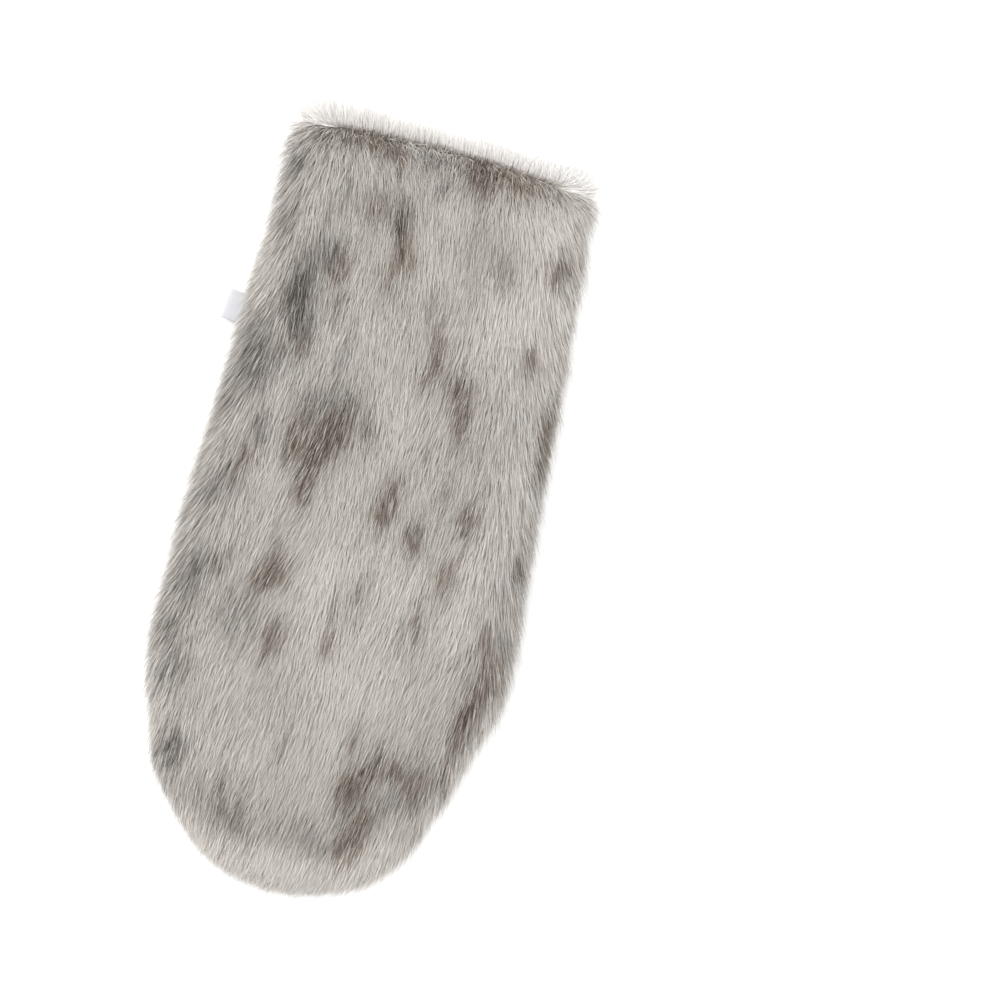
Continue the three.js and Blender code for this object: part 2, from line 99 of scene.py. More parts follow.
# The darker marks of the fur, charted: place, half-width, half-length,
# lean of the lower end towards -X in degrees, strength, and how brown it is.
MARKS_COLUMNS = ("x", "t", "wide", "long", "lean", "dark", "brown")
MARKS = [
    # under the rim
    (-49, 1.6, 6, 3, 0, .34, .4), (-30, 1, 6, 4.5, 0, .38, .6), (-18, 4, 2.6, 6, 0, .38, .7),
    (-8, 2.5, 5, 5, 0, .22, .3), (0, 2.5, 6, 5, 0, .20, .3), (9, 3, 4, 6, 0, .24, .4),
    (15, 3, 4, 5, 0, .40, .7), (15, 9, 2.2, 5, 0, .34, .6), (25, 3, 9, 4.5, 0, .36, .7),
    (36, 3, 5, 4, 0, .22, .7), (44, 4, 4, 3, 0, .10, .6), (-40, 1.8, 5, 3.4, 0, .30, .4),
    (-22, 3, 4, 4, 0, .30, .4),
    # wrist
    (-54, 16, 3.6, 6, 12, .40, .1), (-35, 22, 1.2, 5, 0, .24, .2), (-33, 27, 1, 3, 0, .25, .2),
    (-22, 25, 6, 6, 0, .28, .5), (-13, 27, 3, 3, -30, .36, .5), (-11, 29.5, 2.4, 6, -12, .46, .3),
    (-9, 36, 2, 7, -12, .45, .7), (-6, 42, 2.4, 4, 0, .32, .9), (-11, 48, 4, 7, 10, .18, .8),
    (-40, 33, 1.2, 5, 0, .32, .8), (-53, 38, 3.0, 6, 8, .28, .4), (1, 12, 1, 2.4, 0, .45, .2),
    (16, 30, 3.5, 10, 0, .10, .1), (26, 33, 8, 8, 0, .13, .1), (30, 41, 5, 5, 0, .22, .4), (50, 30, 2.8, 5, 10, .46, .9),
    (48, 36, 2, 4, 10, .36, .8), (-34, 46, 4.5, 5, 0, .40, .1), (-30, 49, 3.4, 6, 0, .45, .6),
    (-42, 57, 3.8, 8, 8, .46, .1), (-42, 63, 4.4, 7, 0, .52, .1), (-45, 68, 3, 4, 0, .50, .6),
    (6, 57, 1.4, 5, 0, .18, .2), (20, 52, 3, 6, 0, .10, .3),
    # hand
    (-39, 73, 3.2, 7, -25, .42, .2), (-37, 81, 3, 5, -15, .42, .6), (-27, 66, 1.8, 5, 0, .22, .2),
    (-54, 82, 4.2, 12, 6, .50, .1), (-53, 95, 3.6, 8, 6, .46, .1), (-46, 89, 3, 6, 0, .26, .1),
    (-60.5, 108, 2, 7, 10, .28, .3), (-21.5, 84, 1.4, 7, 0, .30, .2), (11, 66, 2, 5, 0, .26, .9),
    (12.5, 76, 2, 7, 0, .34, .7), (10.5, 84, 1.8, 4, 10, .34, .6), (46, 68, 2.6, 4.4, -15, .58, .9),
    (23, 86, 3.0, 5, -14, .42, .7), (26, 93, 2.6, 8, -12, .50, .7), (18.5, 85, 1.6, 5, -10, .26, .5),
    (58, 94, 3.4, 9, 0, .42, .8), (60, 106, 2.4, 7, 0, .32, .6), (-23, 102, 8, 6, 0, .30, .2),
    (-17.5, 108, 4.4, 9, 6, .66, .5), (-20.5, 115, 4.6, 6, 12, .62, .6), (-30, 112, 3.6, 8, 8, .46, .6),
    (-32, 118, 2.6, 4, 8, .32, .8), (-24.5, 122, 3.6, 5, 12, .46, .5), (-24, 129, 2.4, 6, 6, .44, .7),
    (-23.5, 135, 2.2, 5, 0, .42, .8), (-7, 104, 2, 4, -15, .30, .6), (-5, 109, 1.4, 2.4, -15, .30, .7),
    (-45, 114, 2.8, 6, 0, .38, .1), (-48, 127, 3, 4, 8, .28, .7), (-50, 134, 3.6, 6, 8, .26, .4),
    (17, 110, 1, 2.4, 10, .28, .6), (7.5, 126, 2.4, 5, 0, .30, .7), (8, 131, 3, 5, 6, .46, .7),
    (5.6, 136.5, 2.8, 4.6, 14, .54, .7), (27, 122, 1.8, 6, 5, .24, .8), (36.5, 130.5, 2.8, 5, 10, .68, .7),
    (18.8, 141, 2.8, 5.4, 6, .68, .5), (37, 146, 1.3, 3.4, 5, .34, .5),
    (-57, 141, 3.6, 7, 8, .40, .2), (59, 144, 2, 5, 5, .36, 1.0), (34, 154, 3.4, 6, 5, .28, .8),
    # fingers
    (7, 160, 2, 5, 10, .16, .3), (4, 168, 2.2, 6, 6, .22, .4), (-28, 155, 1.4, 5, 5, .24, .3),
    (-28.5, 165.5, 3.4, 5, 10, .62, .6), (-33, 170, 2.2, 4.4, 15, .40, .8), (-22, 164, 2, 5, 5, .26, .4),
    (-48, 167, 2.2, 3.2, 0, .42, .5), (-57, 173, 4.6, 8, 6, .44, .1), (-3.4, 174, 1.1, 6, 0, .42, .3),
    (-3, 186, 1.3, 4.4, 0, .34, .7), (27.5, 173, 1.8, 7, 0, .32, .6), (22, 176, 1.4, 5, 8, .22, .3),
    (53, 174, 2, 5, 0, .28, .8), (-38, 184, 7, 7, 0, .22, .1), (-23, 190, 3.6, 6, 5, .42, .6),
    (-61, 196, 4.0, 7, 4, .46, .2), (58, 186, 3.6, 8, 0, .40, .7), (53.5, 199, 2.6, 6, 0, .46, .7),
    (51.5, 207, 2.2, 6, -5, .58, .5), (55, 203, 2.4, 6, 10, .22, .6), (50, 217, 1.4, 6, 0, .36, .5),
    (50, 226, 1.8, 5, 0, .36, 1.0), (-60, 211, 3, 5, 6, .20, .3), (-54, 208, 3, 6, 6, .26, .1),
    (14, 218, 1.8, 5, 0, .26, .9), (-10, 224, 1.8, 5, 4, .16, .1), (-11, 228, .9, 3, 4, .16, .2),
    (26, 225.5, 3.6, 4.4, 0, .54, .6), (32, 227, 2.4, 3.4, 0, .30, .4), (15, 237, 3, 5, 10, .48, .7),
    (21, 233, 2.6, 7, 25, .48, .5), (39, 233, 3.2, 6.2, 0, .60, .6), (-51, 238, 4.6, 5.4, 5, .46, .1),
    (-48.5, 236, 1.8, 4.4, 0, .44, .3), (-55, 244, 2.6, 3.4, 0, .28, .2), (-29, 247, 1.6, 4, 5, .36, .7),
    (-25, 256, 6.4, 7, 5, .40, .1), (-40, 251, 4, 5, 5, .14, .1), (24, 249, 3.2, 8, 8, .54, .6),
    (18, 244, 4, 5.4, 10, .34, .3), (20.5, 261, 4, 5, 10, .58, .6), (31, 243, 2.6, 6, 5, .32, .1),
    (43, 253, 2, 5, 5, .12, .9), (45, 231, 2.2, 7, 0, .08, .8), (5, 260, 12, 10, 0, .14, .1),
    (-14, 266, 8, 8, 0, .10, .1), (36, 262, 7, 6, 0, -.24, 0), (-38, 264, 6, 5, 0, -.16, 0),
    # paler ground
    (44, 16, 9, 7, 0, -.14, 0), (38, 58, 12, 14, 0, -.08, 0), (3, 98, 6, 10, 0, -.08, 0),
    (42, 158, 5, 22, 0, -.20, 0), (-10, 165, 6, 14, 0, -.12, 0),
    (10, 200, 12, 16, 0, -.08, 0), (-57, 60, 4, 12, 0, -.12, 0),
    (38, 32, 16, 22, 0, -.10, 0), (48, 50, 8, 16, 0, -.10, 0), (53, 85, 5, 30, 0, -.10, 0),
    (54, 130, 6, 26, 0, -.12, 0), (15, 158, 12, 12, 0, -.08, 0), (-64, 212, 2.4, 14, 0, -.14, 0),
    (60, 212, 2.6, 22, 12, -.30, 0), (35, 248, 6, 6, 0, -.12, 0), (50, 12, 8, 6, 0, -.14, 0), (36, 56, 16, 10, 0, -.08, 0),
]

# How the fur lies, in rounded degrees from straight towards the tips,
# towards -X, at places across the mitten and along it.
LAY_X = (-59, -53, -47, -40, -31, -20, -8, 4, 16, 28, 39, 48, 55, 60)
LAY = {
    0: (58, 50, 34, 14, -3, -10, -8, -2, -4, -24, -44, -58, -66, -74),
    6: (24, 32, 24, 12, -3, -10, -8, -2, -4, -24, -40, -48, -42, -45),
    30: (18, 26, 9, -3, 0, 3, -7, -11, -5, -4, -16, -26, -32, -38),
    60: (30, 25, 8, 0, 1, 3, 0, -4, 4, -6, -12, -24, -30, -36),
    90: (33, 28, 8, 8, 10, 8, -4, -3, 6, -2, -10, -20, -29, -35),
    128: (34, 16, 9, 8, 14, 18, 2, -4, -4, 2, 0, -11, -19, -27),
    152: (30, 15, 5, 10, 19, 20, 7, -3, 0, 0, -2, -10, -16, -26),
    185: (22, 8, 8, 17, 19, 12, 0, -3, 6, 3, 3, 5, -2, -20),
    222: (17, 15, 8, 8, 14, 10, 6, 6, 6, 9, 5, 1, -6, -8),
    242: (12, 10, 12, 8, 9, 15, 11, 9, 10, 7, 7, 4, 2, 0),
    257: (8, 8, 8, 8, 8, 7, 8, 12, 14, 14, 8, 6, 4, 2),
    275: (4, 5, 6, 7, 8, 10, 13, 13, 13, 16, 14, 12, 10, 8),
}

rng = np.random.default_rng(20817)


# ------------------------------------------------------------------ curves
def column(name):
    ts = np.array([float(r["t"]) for r in SECTIONS])
    vs = np.array([float(r[name]) for r in SECTIONS])
    lo = np.maximum(np.arange(len(ts)) - 1, 0)
    hi = np.minimum(np.arange(len(ts)) + 1, len(ts) - 1)
    slope = (vs[hi] - vs[lo]) / (ts[hi] - ts[lo])

    def at(t):
        t = np.asarray(t, float)
        i = np.clip(np.searchsorted(ts, t, "left") - 1, 0, len(ts) - 2)
        w = ts[i + 1] - ts[i]
        s = np.clip((t - ts[i]) / w, 0, 1)
        return ((2 * s**3 - 3 * s**2 + 1) * vs[i] + (s**3 - 2 * s**2 + s) * w * slope[i]
                + (3 * s**2 - 2 * s**3) * vs[i + 1] + (s**3 - s**2) * w * slope[i + 1])
    return at


fur_half, seam_half, seam_z, crown_z = (column(n) for n in ("fur", "seam", "seam_z", "crown"))


def smooth(s):
    s = np.clip(s, 0, 1)
    return s * s * (3 - 2 * s)


def drop(x, t):
    return RIM_DROP * np.maximum(0, x / 52) ** 1.2 * np.maximum(0, 1 - np.maximum(t, 0) / 80)


def lay(x, t, z):
    x, t, z = np.broadcast_arrays(np.asarray(x, float), t, z)
    return np.stack([x, CENTRE_Y - t - drop(x, t), z], -1)


def lean(p):
    """The finger end of the pelt and the palm sits a little towards -X."""
    t = CENTRE_Y - p[..., 1]
    right = smooth(p[..., 0] / 60) * 4.4 * smooth((t - 184) / 36) * (1 - smooth((t - 236) / 28))
    left = smooth(-p[..., 0] / 60) * 2.2 * smooth((t - 228) / 14) * (1 - smooth((t - 244) / 12))
    q = p.copy()
    q[..., 0] -= right + left
    return q


def place_of(p):
    """x and t of points in the model."""
    x, t = p[..., 0], CENTRE_Y - p[..., 1]
    for _ in range(3):
        t = CENTRE_Y - p[..., 1] - drop(x, t)
    return x, t


def stations(side_step, end_steps):
    ts = np.linspace(0, END_FROM, int(END_FROM / side_step) + 1)
    e = (np.pi / 2) * np.arange(1, end_steps + 1) / end_steps
    side = np.r_[-np.ones(len(ts) + len(e)), np.ones(len(ts) + len(e) - 1)]
    t = np.r_[ts, np.full(2 * len(e) - 1, END_FROM), ts[::-1]]
    end = np.r_[np.zeros(len(ts)), e, e[:-1][::-1], np.zeros(len(ts))]
    return dict(side=side, t=t, end=end)


def rim_point(st, half, tip, inset=0.0, tip_inset=None):
    side, t, end = st["side"], st["t"], st["end"]
    tip_inset = inset if tip_inset is None else tip_inset
    s = np.sin(end) ** (2 / END_POWER)
    x = np.where(end == 0, side * (half(t) - inset), side * (half(END_FROM) - inset) * np.cos(end))
    x = np.where(end > np.pi / 2 - 1e-9, 0, x)
    tt = np.where(end == 0, t, END_FROM + (tip - tip_inset - END_FROM) * s)
    return x, tt


def spine_t(st):
    return np.where(st["end"] == 0, st["t"], END_FROM + (SPINE_END - END_FROM) * np.sin(st["end"]))


def arch(st, wide, low, crown, mid_lift, low_z, low_angles, high_angles):
    """Grid of points, stations by profile: from the side seam out round the edge and up to the crown."""
    wx, wt = wide[0][:, None], wide[1][:, None]
    lx, lt = low[0][:, None], low[1][:, None]
    s_t = spine_t(st)[:, None]
    mid = seam_z(wt) + mid_lift
    c, s = np.cos(low_angles)[None], np.sin(low_angles)[None]
    a = [lx + (wx - lx) * c, lt + (wt - lt) * c, mid - (mid - low_z[:, None]) * s]
    c = np.cos(high_angles)[None] ** ROUND
    c[:, -1] = 0
    s = np.sin(high_angles)[None] ** ROUND
    b = [wx * c, s_t + (wt - s_t) * c, mid + (crown(s_t) - mid) * s]
    return tuple(np.concatenate([np.broadcast_to(p, (len(wx), p.shape[1])), np.broadcast_to(q, (len(wx), q.shape[1]))], 1)
                 for p, q in zip(a, b))


# ------------------------------------------------------------------ noise
def hash01(ix, iy, seed):
    h = (ix.astype(np.int64) * 374761393 + iy.astype(np.int64) * 668265263 + seed * 2147483647) & 0xFFFFFFFF
    h = ((h ^ (h >> 13)) * 1274126177) & 0xFFFFFFFF
    h = ((h ^ (h >> 16)) * 2246822519) & 0xFFFFFFFF
    return ((h ^ (h >> 15)) & 0xFFFFFF) / float(0xFFFFFF)


def noise(x, y, seed=0):
    """Smooth value noise from -1 to 1."""
    ix, iy = np.floor(x), np.floor(y)
    fx, fy = x - ix, y - iy
    fx, fy = fx * fx * (3 - 2 * fx), fy * fy * (3 - 2 * fy)
    a, b = hash01(ix, iy, seed), hash01(ix + 1, iy, seed)
    c, d = hash01(ix, iy + 1, seed), hash01(ix + 1, iy + 1, seed)
    return 2 * ((a * (1 - fx) + b * fx) * (1 - fy) + (c * (1 - fx) + d * fx) * fy) - 1


# ------------------------------------------------------------------ meshes
def mesh_object(name, verts, faces, uv=None, tone=None, smooth_faces=True):
    """verts in millimetres; faces is one or more (n, k) arrays of vertex numbers; uv is per vertex."""
    faces = faces if isinstance(faces, (list, tuple)) else [faces]
    faces = [f for f in faces if len(f)]
    me = bpy.data.meshes.new(name)
    loops = np.concatenate([f.ravel() for f in faces]).astype(np.int32)
    totals = np.concatenate([np.full(len(f), f.shape[1]) for f in faces]).astype(np.int32)
    starts = np.r_[0, np.cumsum(totals)[:-1]].astype(np.int32)
    me.vertices.add(len(verts))
    me.vertices.foreach_set("co", (np.asarray(verts) * 0.001).astype(np.float32).ravel())
    me.loops.add(len(loops))
    me.loops.foreach_set("vertex_index", loops)
    me.polygons.add(len(totals))
    me.polygons.foreach_set("loop_start", starts)
    me.polygons.foreach_set("loop_total", totals)
    me.update(calc_edges=True)
    me.polygons.foreach_set("use_smooth", np.full(len(totals), smooth_faces))
    if uv is not None:
        layer = me.uv_layers.new(name="OFBake", do_init=False)
        layer.uv.foreach_set("vector", np.asarray(uv, np.float32)[loops].ravel())
    if tone is not None:
        for key, values in tone.items():
            attr = me.attributes.new(key, "FLOAT", "POINT")
            attr.data.foreach_set("value", np.asarray(values, np.float32))
    me.validate()
    ob = bpy.data.objects.new(name, me)
    bpy.context.scene.collection.objects.link(ob)
    return ob


def grid_faces(rows, cols, flip=False, wrap=False):
    i = np.arange(rows - 1)[:, None] * cols
    j = np.arange(cols - 1)[None]
    a = (i + j).ravel()
    f = np.stack([a, a + 1, a + cols + 1, a + cols], 1)
    return f[:, ::-1] if flip else f


def weld(ob, distance=1e-6):
    import bmesh
    bm = bmesh.new()
    bm.from_mesh(ob.data)
    bmesh.ops.remove_doubles(bm, verts=bm.verts, dist=distance)
    bmesh.ops.dissolve_degenerate(bm, edges=bm.edges, dist=distance)
    bmesh.ops.recalc_face_normals(bm, faces=bm.faces)
    bm.to_mesh(ob.data)
    bm.free()
    ob.data.update()


def sheet_solid(outer, inner):
    """Closed wall between two sheets of the same grid: vertices and quads."""
    rows, cols = outer.shape[:2]
    verts = np.concatenate([outer.reshape(-1, 3), inner.reshape(-1, 3)])
    n = rows * cols
    f = [grid_faces(rows, cols), grid_faces(rows, cols, True) + n]
    k = np.arange(rows - 1) * cols
    f.append(np.stack([n + k, k, k + cols, n + k + cols], 1))
    j = np.arange(cols - 1)
    f.append(np.stack([j, n + j, n + j + 1, j + 1], 1))
    e = (rows - 1) * cols + j
    f.append(np.stack([n + e, e, e + 1, n + e + 1], 1))
    return verts, np.concatenate(f)


def normals_of(grid):
    """Unit normals of a grid of points, turned so that they point outwards and up."""
    du = np.gradient(grid, axis=0)
    dv = np.gradient(grid, axis=1)
    n = np.cross(du, dv)
    n /= np.maximum(np.linalg.norm(n, axis=-1, keepdims=True), 1e-9)
    return n


# ------------------------------------------------------------------ materials
def new_material(name):
    mat = bpy.data.materials.new(name)
    mat.use_nodes = True
    nt = mat.node_tree
    nt.nodes.clear()
    out = nt.nodes.new("ShaderNodeOutputMaterial")
    bsdf = nt.nodes.new("ShaderNodeBsdfPrincipled")
    nt.links.new(bsdf.outputs[0], out.inputs[0])
    return mat, nt, bsdf


def srgb(r, g, b):
    return tuple(((c / 255 / 12.92) if c / 255 <= 0.04045 else ((c / 255 + 0.055) / 1.055) ** 2.4) for c in (r, g, b)) + (1.0,)


def ramp(nt, source, stops, interpolation="LINEAR"):
    node = nt.nodes.new("ShaderNodeValToRGB")
    node.color_ramp.interpolation = interpolation
    els = node.color_ramp.elements
    while len(els) > 1:
        els.remove(els[-1])
    els[0].position, els[0].color = stops[0]
    for pos, col in stops[1:]:
        e = els.new(pos)
        e.color = col
    nt.links.new(source, node.inputs[0])
    return node.outputs[0]


def math_node(nt, op, a, b=None, clamp=False):
    node = nt.nodes.new("ShaderNodeMath")
    node.operation, node.use_clamp = op, clamp
    for k, v in enumerate((a, b)):
        if v is None:
            continue
        if isinstance(v, (int, float)):
            node.inputs[k].default_value = v
        else:
            nt.links.new(v, node.inputs[k])
    return node.outputs[0]


def mix_colour(nt, fac, a, b, blend="MIX"):
    node = nt.nodes.new("ShaderNodeMix")
    node.data_type, node.blend_type = "RGBA", blend
    for k, v in ((0, fac), (6, a), (7, b)):
        if isinstance(v, (int, float, tuple)):
            node.inputs[k].default_value = v
        else:
            nt.links.new(v, node.inputs[k])
    return node.outputs[2]


# Hair colours: a hair's darkness runs across its map and its root to tip runs
# up it, in four bands: grey, warm, brown and facing.
FAMILIES = [
    # name, lightest, middle, darkest
    dict(name="grey", light=srgb(214, 210, 204), mid=srgb(150, 146, 140), dark=srgb(58, 54, 50)),
    dict(name="warm", light=srgb(214, 208, 201), mid=srgb(150, 143, 135), dark=srgb(60, 53, 48)),
    dict(name="brown", light=srgb(206, 196, 187), mid=srgb(142, 129, 118), dark=srgb(66, 54, 46)),
    dict(name="facing", light=srgb(249, 248, 247), mid=srgb(222, 217, 212), dark=srgb(120, 109, 99)),
]


def hair_material():
    mat, nt, bsdf = new_material("fur_hair")
    uv = nt.nodes.new("ShaderNodeUVMap")
    uv.uv_map = "OFBake"
    sep = nt.nodes.new("ShaderNodeSeparateXYZ")
    nt.links.new(uv.outputs[0], sep.inputs[0])
    u, v = sep.outputs[0], sep.outputs[1]
    four = math_node(nt, "MULTIPLY", v, 4.0)
    band = math_node(nt, "FLOOR", four)
    along = math_node(nt, "FRACT", four)
    colour = None
    for i, fam in enumerate(FAMILIES):
        c = ramp(nt, u, [(0.0, fam["light"]), (0.42, fam["mid"]), (1.0, fam["dark"])])
        if colour is None:
            colour = c
        else:
            colour = mix_colour(nt, math_node(nt, "GREATER_THAN", band, i - 0.5), colour, c)
    # Painted shade: each hair is darker towards its root, standing in for the shade that falls between the hairs; the
    # facing hairs get a lighter, warm cream-tinted painted root shade.
    painted_root_shade = ramp(nt, along, [(0.0, (0.64, 0.61, 0.58, 1)), (0.35, (0.86, 0.85, 0.84, 1)), (0.75, (1, 1, 1, 1)), (1.0, (1, 1, 1, 1))])
    cream_painted_root_shade = ramp(nt, along, [(0.0, (0.84, 0.79, 0.75, 1)), (0.25, (0.97, 0.94, 0.92, 1)), (0.7, (1, 1, 1, 1)), (1.0, (1, 1, 1, 1))])
    painted_root_shade = mix_colour(nt, math_node(nt, "GREATER_THAN", band, 2.5), painted_root_shade, cream_painted_root_shade)
    colour = mix_colour(nt, 1.0, colour, painted_root_shade, "MULTIPLY")
    nt.links.new(colour, bsdf.inputs["Base Color"])
    bsdf.inputs["Roughness"].default_value = 0.58
    bsdf.inputs["Specular IOR Level"].default_value = 0.35
    bsdf.inputs["Sheen Weight"].default_value = 0.15
    bsdf.inputs["Sheen Roughness"].default_value = 0.5
    return mat


def skin_material():
    """Outside of the skin under the fur: the undercoat, streaked along the lay, darker under the marks."""
    mat, nt, bsdf = new_material("fur_undercoat")
    attr = nt.nodes.new("ShaderNodeAttribute")
    attr.attribute_name = "darkness"
    flesh = nt.nodes.new("ShaderNodeAttribute")
    flesh.attribute_name = "flesh"
    coord = nt.nodes.new("ShaderNodeTexCoord")
    mapping = nt.nodes.new("ShaderNodeMapping")
    mapping.inputs["Scale"].default_value = (900, 130, 900)
    nt.links.new(coord.outputs["Object"], mapping.inputs[0])
    n = nt.nodes.new("ShaderNodeTexNoise")
    n.inputs["Scale"].default_value = 1.0
    n.inputs["Detail"].default_value = 3.0
    nt.links.new(mapping.outputs[0], n.inputs["Vector"])
    dark = math_node(nt, "ADD", attr.outputs["Fac"], math_node(nt, "MULTIPLY", math_node(nt, "SUBTRACT", n.outputs["Fac"], 0.5), 0.6), True)
    under = ramp(nt, dark, [(0, srgb(190, 184, 177)), (0.45, srgb(150, 143, 135)), (1, srgb(78, 70, 63))])
    grain = nt.nodes.new("ShaderNodeTexNoise")
    grain.inputs["Scale"].default_value = 900
    grain.inputs["Detail"].default_value = 4
    nt.links.new(coord.outputs["Object"], grain.inputs["Vector"])
    side = ramp(nt, grain.outputs["Fac"], [(0.3, srgb(196, 184, 168)), (0.7, srgb(222, 213, 200))])
    nt.links.new(mix_colour(nt, flesh.outputs["Fac"], under, side), bsdf.inputs["Base Color"])
    bump = nt.nodes.new("ShaderNodeBump")
    bump.inputs["Strength"].default_value = 0.5
    bump.inputs["Distance"].default_value = 0.0004
    nt.links.new(n.outputs["Fac"], bump.inputs["Height"])
    nt.links.new(bump.outputs[0], bsdf.inputs["Normal"])
    bsdf.inputs["Roughness"].default_value = 0.85
    return mat


def leather_material():
    """Black pebbled leather; the flesh side inside the hollow is greyer and matt."""
    mat, nt, bsdf = new_material("black_leather")
    coord = nt.nodes.new("ShaderNodeTexCoord")
    vor = nt.nodes.new("ShaderNodeTexVoronoi")
    vor.feature = "SMOOTH_F1"
    vor.inputs["Scale"].default_value = 1350
    vor.inputs["Smoothness"].default_value = 0.6
    nt.links.new(coord.outputs["Object"], vor.inputs["Vector"])
    fine = nt.nodes.new("ShaderNodeTexNoise")
    fine.inputs["Scale"].default_value = 2600
    fine.inputs["Detail"].default_value = 3
    nt.links.new(coord.outputs["Object"], fine.inputs["Vector"])
    cloud = nt.nodes.new("ShaderNodeTexNoise")
    cloud.inputs["Scale"].default_value = 38
    cloud.inputs["Detail"].default_value = 4
    nt.links.new(coord.outputs["Object"], cloud.inputs["Vector"])
    flesh = nt.nodes.new("ShaderNodeAttribute")
    flesh.attribute_name = "flesh"
    wear = nt.nodes.new("ShaderNodeAttribute")
    wear.attribute_name = "wear"
    base = ramp(nt, cloud.outputs["Fac"], [(0.3, srgb(43, 43, 46)), (0.7, srgb(55, 55, 59))])
    pores = ramp(nt, vor.outputs["Distance"], [(0.0, (1, 1, 1, 1)), (0.55, (0.9, 0.9, 0.9, 1)), (1.0, (0.55, 0.55, 0.56, 1))])
    base = mix_colour(nt, 1.0, base, pores, "MULTIPLY")
    base = mix_colour(nt, wear.outputs["Fac"], base, srgb(78, 78, 82))
    suede = ramp(nt, fine.outputs["Fac"], [(0.3, srgb(58, 56, 57)), (0.7, srgb(82, 79, 79))])
    nt.links.new(mix_colour(nt, flesh.outputs["Fac"], base, suede), bsdf.inputs["Base Color"])
    rough = ramp(nt, cloud.outputs["Fac"], [(0.3, (0.40, 0.40, 0.40, 1)), (0.7, (0.52, 0.52, 0.52, 1))])
    rough = mix_colour(nt, flesh.outputs["Fac"], rough, (0.92, 0.92, 0.92, 1.0))
    nt.links.new(rough, bsdf.inputs["Roughness"])
    height = math_node(nt, "ADD", math_node(nt, "MULTIPLY", vor.outputs["Distance"], -1.0), math_node(nt, "MULTIPLY", fine.outputs["Fac"], 0.25))
    bump = nt.nodes.new("ShaderNodeBump")
    bump.inputs["Strength"].default_value = 0.55
    bump.inputs["Distance"].default_value = 0.00022
    nt.links.new(height, bump.inputs["Height"])
    nt.links.new(bump.outputs[0], bsdf.inputs["Normal"])
    bsdf.inputs["Specular IOR Level"].default_value = 0.5
    return mat


def thread_material():
    mat, nt, bsdf = new_material("black_thread")
    coord = nt.nodes.new("ShaderNodeTexCoord")
    wave = nt.nodes.new("ShaderNodeTexWave")
    wave.inputs["Scale"].default_value = 900
    nt.links.new(coord.outputs["Object"], wave.inputs["Vector"])
    nt.links.new(ramp(nt, wave.outputs["Fac"], [(0, srgb(20, 20, 22)), (1, srgb(46, 46, 49))]), bsdf.inputs["Base Color"])
    bsdf.inputs["Roughness"].default_value = 0.6
    return mat


def label_material():
    """Plain satin-woven tape."""
    mat, nt, bsdf = new_material("woven_label")
    coord = nt.nodes.new("ShaderNodeTexCoord")
    waves = []
    for direction in ("X", "Y"):
        w = nt.nodes.new("ShaderNodeTexWave")
        w.bands_direction = direction
        w.inputs["Scale"].default_value = 1100 if direction == "X" else 800
        w.inputs["Distortion"].default_value = 0.4
        nt.links.new(coord.outputs["Object"], w.inputs["Vector"])
        waves.append(w.outputs["Fac"])
    weave = math_node(nt, "MULTIPLY", waves[0], waves[1])
    nt.links.new(ramp(nt, weave, [(0, srgb(196, 197, 202)), (1, srgb(222, 222, 228))]), bsdf.inputs["Base Color"])
    bump = nt.nodes.new("ShaderNodeBump")
    bump.inputs["Strength"].default_value = 0.3
    bump.inputs["Distance"].default_value = 0.0001
    nt.links.new(weave, bump.inputs["Height"])
    nt.links.new(bump.outputs[0], bsdf.inputs["Normal"])
    bsdf.inputs["Roughness"].default_value = 0.55
    return mat


HAIR = hair_material()
SKIN = skin_material()
BLACK = leather_material()
THREAD = thread_material()
TAPE = label_material()


def finish_piece(ob, mat, slot, *nodes):
    ob.data.materials.append(mat)
    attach(ob, "root")
    if nodes:
        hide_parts(*nodes)
    return ob


# ------------------------------------------------------------------ the marks
def darkness_at(x, t):
    """How dark the fur is at a place, and how brown."""
    dark = np.zeros_like(x)
    brown = np.zeros_like(x)
    wx = x - 1.2 + 1.1 * noise(x / 3.1, t / 5.0, 11) + 0.5 * noise(x / 1.2, t / 2.5, 12)
    wt = t + 1.0 * smooth((t - 145) / 20) + 2.2 * noise(x / 2.0, t / 7.0, 13) + 1.6 * noise(x / .9, t / 9.0, 14)
    for row in MARKS:
        m = dict(zip(MARKS_COLUMNS, row))
        a = math.radians(m["lean"])
        dx, dt = wx - m["x"], wt - m["t"]
        u = dx * math.cos(a) + dt * math.sin(a)
        v = -dx * math.sin(a) + dt * math.cos(a)
        q = (u / m["wide"]) ** 2 + (v / m["long"]) ** 2
        w = m["dark"] * (0.9 * np.exp(-0.95 * q) + 0.16 * np.exp(-0.35 * q))
        brown = brown + np.maximum(w, 0) * m["brown"]
        dark = dark + w
    plus = np.maximum(dark, 0)
    share = brown / np.maximum(plus, 0.05)
    return np.where(dark > 0, 0.78 * (1 - np.exp(-1.45 * plus)), dark), np.clip(share, 0, 1)


# ------------------------------------------------------------------ skin of the back
def back_skin(st, low_angles, high_angles):
    seam = rim_point(st, seam_half, SEAM_TIP)
    wide = rim_point(st, fur_half, SKIN_TIP, PILE, 0.0)
    away = np.hypot(wide[0] - seam[0], wide[1] - seam[1])
    lip = (seam[0] + 0.25 * (wide[0] - seam[0]) / away, seam[1] + 0.25 * (wide[1] - seam[1]) / away)
    low_z = seam_z(seam[1]) - 0.8
    outer = arch(st, wide, lip, crown_z, 2.0, low_z, low_angles, high_angles)
    wide = rim_point(st, fur_half, SKIN_TIP, PILE + PELT, PELT)
    inner = arch(st, wide, seam, lambda t: crown_z(t) - PELT, 2.0, low_z + 0.8 + GAP, low_angles, high_angles)
    return outer, inner


